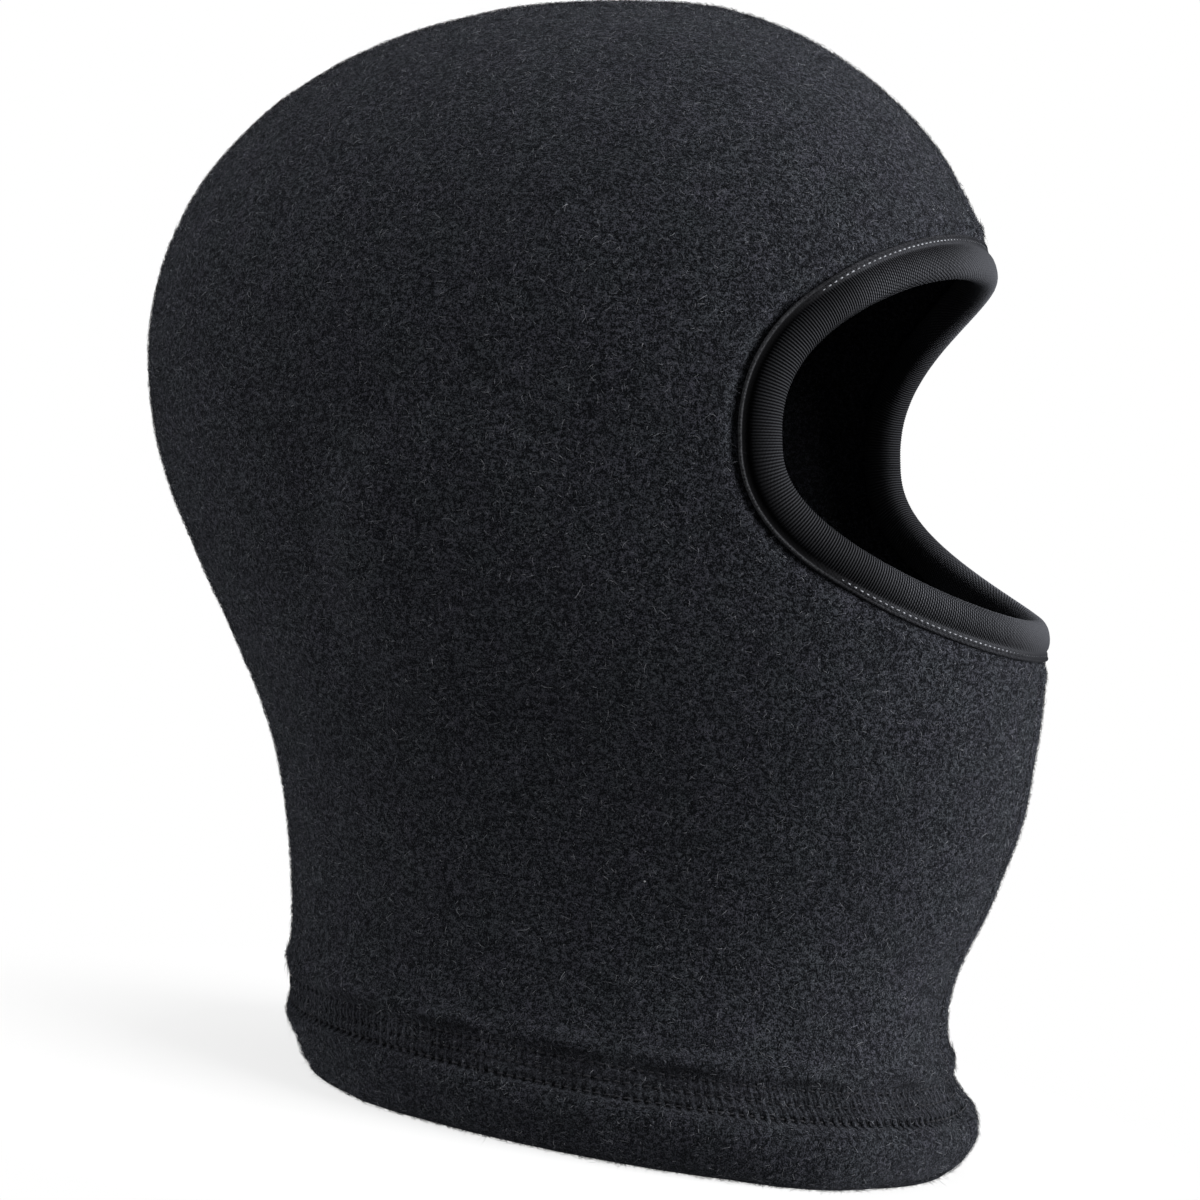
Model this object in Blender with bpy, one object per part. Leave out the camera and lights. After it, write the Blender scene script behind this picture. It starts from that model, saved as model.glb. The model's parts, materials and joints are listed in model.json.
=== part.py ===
"""Fleece balaclava, standing on its hem as if an unseen head filled it.

Two mirrored fleece panels meet on the middle plane. They are sewn together over the crown and down the
nape, and again below the face opening. A folded elastic band binds the opening, a three-row coverstitch
holds the turned-up hem, and a folded label hangs in the nape seam.

Frame: metres, +Z up, the face looks along -Y, the wearer's right side is at -X. The origin is on the flat
underside of the hem, at the middle of the whole width and the whole length.
"""

import math

import bmesh
import bpy
import numpy as np
from mathutils import Matrix, Vector

# The middle of the hem, which lies in front of the middle of the whole length.
HEM_MIDDLE_Y = -0.0288

# The outer skin up to the temple line: height, front and back on the middle plane, half width, widest point.
# The front, the back and the widest point are measured from the middle of the hem.
STATIONS = np.array(
    [
        (0.000, -0.0810, 0.0810, 0.0620, 0.000),
        (0.010, -0.0840, 0.0840, 0.0650, 0.000),
        (0.020, -0.0765, 0.0865, 0.0620, 0.002),
        (0.034, -0.0720, 0.0875, 0.0590, 0.005),
        (0.055, -0.0750, 0.0915, 0.0585, 0.010),
        (0.072, -0.0820, 0.0955, 0.0610, 0.016),
        (0.088, -0.0830, 0.1030, 0.0660, 0.022),
        (0.115, -0.0845, 0.1210, 0.0730, 0.030),
        (0.145, -0.0755, 0.1385, 0.0785, 0.036),
        (0.175, -0.0640, 0.1430, 0.0800, 0.038),
    ]
)
STATIONS[:, (1, 2, 4)] += HEM_MIDDLE_Y
TEMPLE_Z = STATIONS[-1, 0]
CROWN_Z = 0.262
CROWN_Y = HEM_MIDDLE_Y + 0.020
RING_POWER = 2.15  # a ring's outline is slightly fuller than an ellipse
SLOPE_STEP = 1e-6  # half the distance over which the skin's slope is measured
SKIN_STEPS = 4  # steps in which a point is moved onto the skin or along it

# Fleece and its seams.
FLEECE = 0.003
PANEL_GAP = 0.0003
ALLOWANCE = 0.0085  # how far below the skin the seam allowances reach
ALLOWANCE_PLY = 0.003
ALLOWANCE_LOW_Z = 0.026
HEM_HEIGHT = 0.0185
HEM_FOLD = 0.003  # solid fold at the bottom of the hem, below the slot between its plies
PLY_GAP = 0.0003
SLOT_STEP = 0.0001  # the slot between the hem's plies starts this far inside the skin ply
SKIRT = 0.020  # how far the forms run on below the hem before they are cut off

# The face opening as seen from the front, at the fold of its binding.
OPENING_HALF_WIDTH = 0.0632
OPENING_MID_Z = 0.1618
OPENING_RISE = 0.0442
OPENING_DROP = 0.0314
OPENING_POWER = 2.44

# The binding: an elastic band folded over the raw edge of the fleece.
BAND_WIDTH = 0.0103
BAND_INNER_WIDTH = 0.0090
BAND_INNER_MARGIN = 0.0020  # from the band's edge to where the seam allowances stop
BAND_PLY = 0.0012
BAND_OUTER_GAP = 0.0003
BAND_INNER_GAP = 0.0007
BEAD_WIDTH = 0.0015
BEAD_RISE = 0.0005
RAW_EDGE = 0.0030  # from the fold of the band to the raw edge of the fleece inside it
PLUG_REACH = 0.012
PLUG_BACK_Y = 0.0
PLUG_FRONT_Y = -0.180

# Threads.
THREAD = 0.0003  # radius
THREAD_GAP = 0.0004  # clear space between a thread and the surface it lies on
LOOPER_CLEAR = 0.0006
HEM_ROW_HEIGHTS = {"upper": 0.0215, "middle": 0.0185, "lower": 0.0155}
BAND_STITCH_FROM_EDGE = 0.0024
JOIN_STITCH_STEPS = 7
JOIN_STITCH_SWING = 0.0011
JOIN_STITCH_SPAN = (0.3, 0.9)  # shares of the inner ply's width, from the fold
SEAM_ZIGZAG_STEP = 0.0045
SEAM_ZIGZAG_SWING = 0.0024

# The label.
LABEL_LOW_Z = 0.040
LABEL_HEIGHT = 0.022
LABEL_LENGTH = 0.026
LABEL_PLY = 0.0004
LABEL_FOLD_GAP = 0.0006
LABEL_CLEAR = 0.0012

# Colour and roughness of each cloth.
FLEECE_LOOK = ((0.020, 0.020, 0.024), 0.95)
BAND_LOOK = ((0.030, 0.030, 0.036), 0.8)
TOPSTITCH_LOOK = ((0.30, 0.30, 0.33), 0.6)
DARK_THREAD_LOOK = ((0.015, 0.015, 0.018), 0.6)
LABEL_LOOK = ((0.70, 0.70, 0.69), 0.7)

# How far cutters reach, all well past the object. No two are the same, so that joined cutters share no faces.
FAR = 0.30
LESS_FAR = 0.21
LEAST_FAR = 0.15

# Resolution of the solids.
RING_POINTS = 40
BODY_RINGS = 18
DOME_RINGS = 8
BAND_STATIONS = 72
HEM_THREAD_STATIONS = 60
BAND_THREAD_STATIONS = 72
LOOPER_STATIONS = 80
MIDDLE_LINE_POINTS = 60
MIDDLE_LINE_DOME_POINTS = 40
SHARP_ANGLE = math.radians(40)  # edges between faces at more than this stay sharp


# ---------------------------------------------------------------- the skin, as a formula


def station_value(height, column):
    """A column of STATIONS at this height, on a smooth curve that stands upright at the temple line."""
    heights = STATIONS[:, 0]
    values = STATIONS[:, column]
    slopes = np.gradient(values, heights)
    slopes[-1] = 0.0
    below = np.clip(np.searchsorted(heights, height) - 1, 0, len(heights) - 2)
    gap = heights[below + 1] - heights[below]
    t = (height - heights[below]) / gap
    start = (1 + 2 * t) * (1 - t) ** 2 * values[below] + t * (1 - t) ** 2 * gap * slopes[below]
    end = t**2 * (3 - 2 * t) * values[below + 1] + t**2 * (t - 1) * gap * slopes[below + 1]
    return start + end


def dome_heights(count):
    """Heights from just above the temple line to the crown, closer together near the crown."""
    lift = np.linspace(0.0, math.pi / 2, count + 1)[1:]
    return TEMPLE_Z + (CROWN_Z - TEMPLE_Z) * np.sin(lift)


def ring_reach(height):
    """Front, back, half width and widest point of the skin's ring at this height."""
    body = np.clip(height, 0.0, TEMPLE_Z)
    front, back, half, widest = (station_value(body, column) for column in (1, 2, 3, 4))
    rise = np.clip((height - TEMPLE_Z) / (CROWN_Z - TEMPLE_Z), 0.0, 1.0)
    shrink = np.sqrt(1.0 - rise**2)
    leaning = np.where(rise > 0, 1.0, 0.0)
    front = front + leaning * (CROWN_Y - front) * (1 - shrink)
    back = back + leaning * (CROWN_Y - back) * (1 - shrink)
    widest = widest + (CROWN_Y - widest) * rise**2
    return front, back, half * shrink, widest


def skin_point(angle, height):
    """A point of the skin: angle 0 is the front and a quarter turn is the wearer's left."""
    front, back, half, widest = ring_reach(height)
    c, s = np.cos(angle), np.sin(angle)
    radius = (np.abs(c) ** RING_POWER + np.abs(s) ** RING_POWER) ** (-1 / RING_POWER)
    reach = np.where(c > 0, front - widest, back - widest)
    y = widest + reach * radius * np.abs(c)
    return np.stack(np.broadcast_arrays(half * radius * s, y, height), axis=-1)


def skin_level(points):
    """Below 0 inside the skin, 0 on it and above 0 outside it."""
    x, y, z = points[..., 0], points[..., 1], points[..., 2]
    front, back, half, widest = ring_reach(z)
    reach = np.where(y < widest, widest - front, back - widest)
    across = np.abs(x / half) ** RING_POWER
    along = np.abs((y - widest) / reach) ** RING_POWER
    return (across + along) ** (1 / RING_POWER) - 1


def skin_slope(points):
    """The gradient of skin_level, which points straight out of the skin."""
    sides = []
    for step in np.eye(3) * SLOPE_STEP:
        sides.append((skin_level(points + step) - skin_level(points - step)) / (2 * SLOPE_STEP))
    return np.stack(sides, axis=-1)


def on_skin(points, outset=0.0):
    """The points moved straight onto the skin, then this far out of it."""
    for _ in range(SKIN_STEPS):
        slope = skin_slope(points)
        points = points - slope * (skin_level(points) / (slope**2).sum(axis=-1))[..., None]
    slope = skin_slope(points)
    normal = slope / np.linalg.norm(slope, axis=-1, keepdims=True)
    return points + normal * np.asarray(outset)[..., None]


# ---------------------------------------------------------------- mesh helpers


def add_object(name, mesh):
    """A new object, smooth where it is round and sharp where it has edges."""
    mesh.shade_smooth()
    mesh.set_sharp_from_angle(angle=SHARP_ANGLE)
    made = bpy.data.objects.new(name, mesh)
    bpy.context.scene.collection.objects.link(made)
    return made


def loft(name, loops, ring=False):
    """A closed body through loops of the same number of points. A ring joins its last loop to its first."""
    bm = bmesh.new()
    rows = [[bm.verts.new(point) for point in loop] for loop in loops]
    pairs = list(zip(rows, rows[1:]))
    if ring:
        pairs.append((rows[-1], rows[0]))
    for low, high in pairs:
        for i, corner in enumerate(low):
            after = (i + 1) % len(low)
            bm.faces.new((corner, low[after], high[after], high[i]))
    if not ring:
        bm.faces.new(list(reversed(rows[0])))
        bm.faces.new(rows[-1])
    bmesh.ops.recalc_face_normals(bm, faces=bm.faces)
    mesh = bpy.data.meshes.new(name)
    bm.to_mesh(mesh)
    bm.free()
    return add_object(name, mesh)


def block(low, high):
    """A box between two corners, used as a cutter."""
    low_x, low_y, low_z = low
    high_x, high_y, high_z = high
    square = ((low_x, low_y), (high_x, low_y), (high_x, high_y), (low_x, high_y))
    return loft("block", [[(x, y, z) for x, y in square] for z in (low_z, high_z)])


def combine(target, tool, operation):
    """Applies a Boolean of the tool to the target, and removes the tool."""
    modifier = target.modifiers.new(operation.lower(), "BOOLEAN")
    modifier.operation = operation
    modifier.object = tool
    modifier.solver = "EXACT"
    bpy.context.view_layer.objects.active = target
    bpy.ops.object.modifier_apply(modifier=modifier.name)
    bpy.data.objects.remove(tool)
    return target


def thread(name, points, closed):
    """A round thread along the points."""
    curve = bpy.data.curves.new(name, "CURVE")
    curve.dimensions = "3D"
    curve.bevel_depth = THREAD
    curve.bevel_resolution = 0
    curve.use_fill_caps = not closed
    spline = curve.splines.new("POLY")
    spline.points.add(len(points) - 1)
    for slot, point in zip(spline.points, points):
        slot.co = (*point, 1.0)
    spline.use_cyclic_u = closed
    made = bpy.data.objects.new(name, curve)
    bpy.context.scene.collection.objects.link(made)
    return made


def paint(obj, name, look):
    """A plain matt material with the colour and roughness of a look."""
    color, roughness = look
    material = bpy.data.materials.new(name)
    material.use_nodes = True
    shader = material.node_tree.nodes["Principled BSDF"]
    shader.inputs["Base Color"].default_value = (*color, 1.0)
    shader.inputs["Roughness"].default_value = roughness
    shader.inputs["Metallic"].default_value = 0.0
    obj.data.materials.clear()
    obj.data.materials.append(material)


# ---------------------------------------------------------------- fleece panels


def form_heights():
    """Heights of the rings of a form, closer together towards the crown."""
    body = np.linspace(0.0, TEMPLE_Z, BODY_RINGS)
    return np.concatenate([body, dome_heights(DOME_RINGS + 1)[:-1]])


def head_form(inset, low, high):
    """The solid inside the skin, this far below it, between two heights."""
    angles = np.arange(RING_POINTS) * (2 * math.pi / RING_POINTS)
    bm = bmesh.new()
    rows = []
    for height in form_heights():
        rows.append([bm.verts.new(point) for point in skin_point(angles, height)])
    crown = bm.verts.new((0.0, CROWN_Y, CROWN_Z))
    for row, above in zip(rows, rows[1:]):
        for i, corner in enumerate(row):
            after = (i + 1) % RING_POINTS
            bm.faces.new((corner, row[after], above[after], above[i]))
    for i, corner in enumerate(rows[-1]):
        bm.faces.new((corner, rows[-1][(i + 1) % RING_POINTS], crown))
    bm.normal_update()
    outward = {vertex: vertex.normal.copy() for vertex in bm.verts}
    for vertex, normal in outward.items():
        vertex.co -= normal * inset
    skirt = [bm.verts.new(vertex.co - Vector((0.0, 0.0, SKIRT))) for vertex in rows[0]]
    for i, corner in enumerate(skirt):
        after = (i + 1) % RING_POINTS
        bm.faces.new((corner, skirt[after], rows[0][after], rows[0][i]))
    bm.faces.new(list(reversed(skirt)))
    bmesh.ops.recalc_face_normals(bm, faces=bm.faces)
    for level, up in ((low, -1), (high, 1)):
        geometry = bm.verts[:] + bm.edges[:] + bm.faces[:]
        cut = bmesh.ops.bisect_plane(
            bm, geom=geometry, plane_co=(0, 0, level), plane_no=(0, 0, up), clear_outer=True
        )
        rim = [item for item in cut["geom_cut"] if isinstance(item, bmesh.types.BMEdge)]
        if rim:
            bmesh.ops.contextual_create(bm, geom=rim)
    bmesh.ops.recalc_face_normals(bm, faces=bm.faces)
    mesh = bpy.data.meshes.new("form")
    bm.to_mesh(mesh)
    bm.free()
    return add_object("form", mesh)


def opening_line(count):
    """Points of the skin round the face opening, anticlockwise as seen from the front."""
    turn = np.arange(count) * (2 * math.pi / count)
    c, s = np.cos(turn), np.sin(turn)
    x = OPENING_HALF_WIDTH * np.sign(c) * np.abs(c) ** (2 / OPENING_POWER)
    reach = np.where(s > 0, OPENING_RISE, OPENING_DROP)
    z = OPENING_MID_Z + reach * np.sign(s) * np.abs(s) ** (2 / OPENING_POWER)
    front, _, half, widest = ring_reach(z)
    y = widest - (widest - front) * (1 - np.abs(x / half) ** RING_POWER) ** (1 / RING_POWER)
    return even_steps(np.stack([x, y, z], axis=-1), count)


def even_steps(points, count):
    """The closed line through the points, as this many points at even distances."""
    closed = np.vstack([points, points[:1]])
    length = np.concatenate([[0.0], np.cumsum(np.linalg.norm(np.diff(closed, axis=0), axis=1))])
    places = np.arange(count) * (length[-1] / count)
    return np.stack([np.interp(places, length, closed[:, axis]) for axis in range(3)], axis=-1)


def beside_opening(line, distance, outset):
    """The opening's line moved this far away from the opening along the skin, and this far out of it."""
    here = on_skin(line)
    slope = skin_slope(here)
    normal = slope / np.linalg.norm(slope, axis=-1, keepdims=True)
    along = np.roll(line, -1, axis=0) - np.roll(line, 1, axis=0)
    away = np.cross(along, normal)
    away /= np.linalg.norm(away, axis=-1, keepdims=True)
    for _ in range(SKIN_STEPS):
        here = on_skin(here + away * (distance / SKIN_STEPS))
    return on_skin(here, np.full(len(line), outset))


def opening_cutter():
    """A plug that cuts the raw edge of the opening square to the skin, with flat ends well clear of it."""
    line = opening_line(BAND_STATIONS)
    loops = [beside_opening(line, RAW_EDGE, outset) for outset in (-PLUG_REACH, 0.0, PLUG_REACH)]
    back_end, front_end = loops[0].copy(), loops[-1].copy()
    back_end[:, 1] = PLUG_BACK_Y
    front_end[:, 1] = PLUG_FRONT_Y
    return loft("plug", [back_end, *loops, front_end])


def clear_of_allowances(side):
    """Where a panel has no seam allowance: off the middle, just above the hem, and round the opening."""
    ply = side * ALLOWANCE_PLY
    margin = BAND_WIDTH + BAND_INNER_MARGIN
    low = OPENING_MID_Z - OPENING_DROP - margin
    high = OPENING_MID_Z + OPENING_RISE + margin
    zone = block((ply, -FAR, -FAR), (side * FAR, FAR, FAR))
    round_opening = block((-ply, -LEAST_FAR, low), (side * LEAST_FAR, 0.0, high))
    combine(zone, round_opening, "UNION")
    above_hem = block((-2 * ply, -LESS_FAR, -LESS_FAR), (side * LESS_FAR, LESS_FAR, ALLOWANCE_LOW_Z))
    return combine(zone, above_hem, "UNION")


def fleece_panel(name, side):
    """One half of the hood: a skin ply, its seam allowances, and the hem turned up inside. Side is -1 or 1."""
    panel = head_form(0.0, 0.0, FAR)
    half_space = block((side * PANEL_GAP / 2, -FAR, -FAR), (side * FAR, FAR, FAR))
    combine(panel, half_space, "INTERSECT")
    combine(panel, head_form(ALLOWANCE, HEM_HEIGHT / 2, FAR), "DIFFERENCE")
    folded = 2 * FLEECE + SLOT_STEP + PLY_GAP
    combine(panel, head_form(folded, -SKIRT / 2, HEM_HEIGHT + PLY_GAP), "DIFFERENCE")
    one_ply = combine(head_form(FLEECE, HEM_HEIGHT, FAR), clear_of_allowances(side), "INTERSECT")
    combine(panel, one_ply, "DIFFERENCE")
    slot = head_form(FLEECE + SLOT_STEP, HEM_FOLD, HEM_HEIGHT + PLY_GAP)
    combine(slot, head_form(FLEECE + SLOT_STEP + PLY_GAP, -SKIRT / 2, FAR), "DIFFERENCE")
    combine(panel, slot, "DIFFERENCE")
    combine(panel, opening_cutter(), "DIFFERENCE")
    panel.name = name
    return panel


# ---------------------------------------------------------------- binding and its stitches


def band_section():
    """The band's cross-section: distance from its fold along the skin, and height above the skin.

    It runs over the raised bead and the outer ply, round the fold and along the inner ply, and comes back
    over the faces that hold the fleece.
    """
    top = BAND_OUTER_GAP + BAND_PLY
    under = -FLEECE - BAND_INNER_GAP
    low = under - BAND_PLY
    wall = 1.3 * BAND_PLY
    half = (top + low) / 2
    return (
        (BAND_WIDTH - 0.2 * BEAD_WIDTH, BAND_OUTER_GAP),
        (BAND_WIDTH, (top + BAND_OUTER_GAP) / 2),
        (BAND_WIDTH - 0.25 * BEAD_WIDTH, top + 0.8 * BEAD_RISE),
        (BAND_WIDTH - 0.6 * BEAD_WIDTH, top + BEAD_RISE),
        (BAND_WIDTH - BEAD_WIDTH, top - 0.4 * BEAD_RISE),
        (BAND_WIDTH - 1.6 * BEAD_WIDTH, top),
        (2.2 * BAND_PLY, top),
        (0.8 * BAND_PLY, top - 0.6 * BAND_PLY),
        (0.0, half),
        (0.8 * BAND_PLY, low + 0.6 * BAND_PLY),
        (2.2 * BAND_PLY, low),
        (BAND_INNER_WIDTH, low),
        (BAND_INNER_WIDTH, under),
        (wall + BAND_PLY, under),
        (wall, half),
        (wall + BAND_PLY, BAND_OUTER_GAP),
    )


def face_binding():
    """The elastic band, one closed ring folded over the raw edge."""
    line = opening_line(BAND_STATIONS)
    rails = [beside_opening(line, distance, outset) for distance, outset in band_section()]
    loops = [[rail[i] for rail in rails] for i in range(BAND_STATIONS)]
    return loft("face_binding", loops, ring=True)


def binding_stitch():
    """The topstitch that holds the band, just inside its raised edge."""
    height = BAND_OUTER_GAP + BAND_PLY + THREAD + THREAD_GAP
    line = opening_line(BAND_THREAD_STATIONS)
    return thread("binding_stitch", beside_opening(line, BAND_WIDTH - BAND_STITCH_FROM_EDGE, height), True)


def binding_join_stitch():
    """A zigzag across the inner ply, at the middle of the lower edge, where the band's two ends meet."""
    line = opening_line(BAND_STATIONS)
    lowest = int(np.argmin(line[:, 2]))
    depth = -FLEECE - BAND_INNER_GAP - BAND_PLY - THREAD - THREAD_GAP
    points = []
    for step, share in enumerate(np.linspace(*JOIN_STITCH_SPAN, JOIN_STITCH_STEPS)):
        place = beside_opening(line, BAND_INNER_WIDTH * share, depth)[lowest]
        points.append(place + np.array([(-1) ** step * JOIN_STITCH_SWING, 0.0, 0.0]))
    return thread("binding_join_stitch", points, False)


# ---------------------------------------------------------------- hem and seam threads


def hem_ring(height, outset, count):
    """Points round the hem at this height, this far out of the skin."""
    turn = np.arange(count) * (2 * math.pi / count)
    return on_skin(skin_point(turn, np.full(count, height)), np.broadcast_to(outset, count))


def hem_stitch(row, height):
    """One needle thread of the coverstitch, round the outside of the hem."""
    return thread(f"hem_stitch_{row}", hem_ring(height, THREAD + THREAD_GAP, HEM_THREAD_STATIONS), True)


def hem_looper_thread():
    """The looper thread of the coverstitch, which zigzags over the raw edge inside the hem."""
    outset = -(2 * FLEECE + SLOT_STEP + PLY_GAP + LOOPER_CLEAR + THREAD)
    points = hem_ring(HEM_ROW_HEIGHTS["lower"], outset, LOOPER_STATIONS)
    points[1::2] = hem_ring(HEM_ROW_HEIGHTS["upper"], outset, LOOPER_STATIONS)[1::2]
    return thread("hem_looper_thread", points, True)


def middle_line(inset, backwards):
    """The skin's outline on the middle plane, this far below it, from the hem up to the crown."""
    body = np.linspace(0.0, TEMPLE_Z, MIDDLE_LINE_POINTS)
    heights = np.concatenate([body, dome_heights(MIDDLE_LINE_DOME_POINTS)])
    front, back, _, _ = ring_reach(heights)
    y = back if backwards else front
    step_y, step_z = np.gradient(y), np.gradient(heights)
    length = np.hypot(step_y, step_z)
    turn = -1.0 if backwards else 1.0
    inward = np.stack([turn * step_z / length, -turn * step_y / length], axis=-1)
    return np.stack([y, heights], axis=-1) + inset * inward


def zigzag(outline):
    """A zigzag in X along an outline in the middle plane, from one allowance to the other."""
    length = np.concatenate([[0.0], np.cumsum(np.linalg.norm(np.diff(outline, axis=0), axis=1))])
    count = int(length[-1] / SEAM_ZIGZAG_STEP)
    places = np.linspace(0.0, length[-1], count)
    y = np.interp(places, length, outline[:, 0])
    z = np.interp(places, length, outline[:, 1])
    x = np.where(np.arange(count) % 2 == 0, -SEAM_ZIGZAG_SWING, SEAM_ZIGZAG_SWING)
    return np.stack([x, y, z], axis=-1)


def seam_thread_depth():
    """How far below the skin the overlock thread runs, clear of the edge of the allowances."""
    return ALLOWANCE + THREAD + 2 * THREAD_GAP


def crown_seam_thread():
    """The overlock thread on the edge of the allowances, from the nape over the crown to the brow."""
    nape = middle_line(seam_thread_depth(), True)
    nape = nape[nape[:, 1] > ALLOWANCE_LOW_Z]
    brow = middle_line(seam_thread_depth(), False)
    lowest = OPENING_MID_Z + OPENING_RISE + BAND_WIDTH + 2 * BAND_INNER_MARGIN
    brow = brow[brow[:, 1] > lowest][::-1]
    return thread("crown_seam_thread", zigzag(np.vstack([nape, brow[1:]])), False)


def throat_seam_thread():
    """The same thread below the face opening, from the hem to the binding."""
    throat = middle_line(seam_thread_depth(), False)
    highest = OPENING_MID_Z - OPENING_DROP - BAND_WIDTH - 2 * BAND_INNER_MARGIN
    throat = throat[(throat[:, 1] > ALLOWANCE_LOW_Z) & (throat[:, 1] < highest)]
    return thread("throat_seam_thread", zigzag(throat), False)


# ---------------------------------------------------------------- label


def label_frame():
    """The label's sewn edge at its lower end, and the unit vector up along the nape."""
    nape = middle_line(seam_thread_depth() + THREAD + LABEL_CLEAR, True)
    low = np.array([np.interp(LABEL_LOW_Z, nape[:, 1], nape[:, 0]), LABEL_LOW_Z])
    top_z = LABEL_LOW_Z + LABEL_HEIGHT
    high = np.array([np.interp(top_z, nape[:, 1], nape[:, 0]), top_z])
    up = (high - low) / np.linalg.norm(high - low)
    return Vector((0.0, *low)), Vector((0.0, *up))


def care_label():
    """A blank ribbon folded in two. Its open ends are caught in the nape seam and its fold points forward."""
    foot, up = label_frame()
    right = Vector((-1.0, 0.0, 0.0))
    forward = up.cross(right)
    outer = LABEL_FOLD_GAP / 2 + LABEL_PLY
    inner = LABEL_FOLD_GAP / 2
    bend = LABEL_LENGTH - outer
    outline = [(-outer, 0.0), (-outer, bend), (-0.5 * outer, LABEL_LENGTH), (0.5 * outer, LABEL_LENGTH)]
    outline += [(outer, bend), (outer, 0.0), (inner, 0.0), (inner, bend), (-inner, bend), (-inner, 0.0)]
    loops = [[(x, y, z) for x, y in outline] for z in (0.0, LABEL_HEIGHT)]
    label = loft("care_label", loops)
    turn = Matrix((right, forward, up)).transposed()
    label.rotation_euler = turn.to_euler()
    label.location = foot
    return label


# ---------------------------------------------------------------- the object


def clear_scene():
    """Leaves nothing of the scene that Blender starts with."""
    for obj in list(bpy.data.objects):
        bpy.data.objects.remove(obj)


def build():
    """Every piece, each with its own material."""
    clear_scene()
    for name, side in (("right_panel", -1), ("left_panel", 1)):
        paint(fleece_panel(name, side), f"{name}_fleece", FLEECE_LOOK)
    paint(face_binding(), "band_elastic", BAND_LOOK)
    paint(binding_stitch(), "topstitch_thread", TOPSTITCH_LOOK)
    paint(binding_join_stitch(), "join_thread", DARK_THREAD_LOOK)
    for row, height in HEM_ROW_HEIGHTS.items():
        paint(hem_stitch(row, height), f"hem_{row}_thread", DARK_THREAD_LOOK)
    paint(hem_looper_thread(), "looper_thread", DARK_THREAD_LOOK)
    paint(crown_seam_thread(), "crown_thread", DARK_THREAD_LOOK)
    paint(throat_seam_thread(), "throat_thread", DARK_THREAD_LOOK)
    paint(care_label(), "label_ribbon", LABEL_LOOK)


build()
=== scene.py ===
"""Looks of a fleece balaclava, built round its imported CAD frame.

The cloth is stretched over an unseen head, so its shape is known: each panel is laid out on the skin
formula that the CAD source uses, then given the relief of its seams, its hem and the ear below it.

Frame: metres, +Z up, the face looks along -Y, the wearer's right side is at -X.
"""

import json
import math

import bpy
import numpy as np
from mathutils import Matrix, Vector
from mathutils.kdtree import KDTree


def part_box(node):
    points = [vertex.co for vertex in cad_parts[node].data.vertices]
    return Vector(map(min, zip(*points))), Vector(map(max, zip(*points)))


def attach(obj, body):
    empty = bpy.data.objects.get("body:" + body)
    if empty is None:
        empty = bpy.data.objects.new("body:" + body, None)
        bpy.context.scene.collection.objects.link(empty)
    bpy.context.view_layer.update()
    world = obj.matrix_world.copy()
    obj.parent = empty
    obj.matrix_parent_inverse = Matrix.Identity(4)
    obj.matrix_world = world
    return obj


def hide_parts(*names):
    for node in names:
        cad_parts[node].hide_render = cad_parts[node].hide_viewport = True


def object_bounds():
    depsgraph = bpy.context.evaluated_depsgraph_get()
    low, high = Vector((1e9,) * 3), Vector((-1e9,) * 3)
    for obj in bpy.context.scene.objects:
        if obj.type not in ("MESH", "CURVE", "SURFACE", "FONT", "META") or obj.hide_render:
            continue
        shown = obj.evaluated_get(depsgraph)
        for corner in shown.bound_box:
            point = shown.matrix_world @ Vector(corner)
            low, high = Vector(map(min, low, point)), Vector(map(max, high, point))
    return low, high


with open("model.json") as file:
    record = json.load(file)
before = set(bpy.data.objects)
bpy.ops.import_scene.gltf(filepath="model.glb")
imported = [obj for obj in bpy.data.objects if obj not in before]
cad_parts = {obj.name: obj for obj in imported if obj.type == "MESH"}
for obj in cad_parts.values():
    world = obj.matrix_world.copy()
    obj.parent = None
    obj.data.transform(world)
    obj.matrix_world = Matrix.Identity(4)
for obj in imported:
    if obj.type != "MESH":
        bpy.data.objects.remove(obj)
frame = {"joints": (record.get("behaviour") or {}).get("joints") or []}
CAD_LOW, CAD_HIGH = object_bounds()

MM = 0.001
SEED = 7

# The skin up to the temple line: height, front, back, half width, widest point. The front, the back and
# the widest point are measured from the middle of the hem.
HEM_MIDDLE_Y = -0.0288
STATIONS = np.array([
    (0.000, -0.0810, 0.0810, 0.0620, 0.000),
    (0.010, -0.0840, 0.0840, 0.0650, 0.000),
    (0.020, -0.0765, 0.0865, 0.0620, 0.002),
    (0.034, -0.0720, 0.0875, 0.0590, 0.005),
    (0.055, -0.0750, 0.0915, 0.0585, 0.010),
    (0.072, -0.0820, 0.0955, 0.0610, 0.016),
    (0.088, -0.0830, 0.1030, 0.0660, 0.022),
    (0.115, -0.0845, 0.1210, 0.0730, 0.030),
    (0.145, -0.0755, 0.1385, 0.0785, 0.036),
    (0.175, -0.0640, 0.1430, 0.0800, 0.038),
])
STATIONS[:, (1, 2, 4)] += HEM_MIDDLE_Y
TEMPLE_Z = STATIONS[-1, 0]
CROWN_Z = CAD_HIGH.z
CROWN_Y = HEM_MIDDLE_Y + 0.020
RING_POWER = 2.15
SOFTEN_SPAN = 0.014  # the rings are averaged over this much height either way

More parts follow.
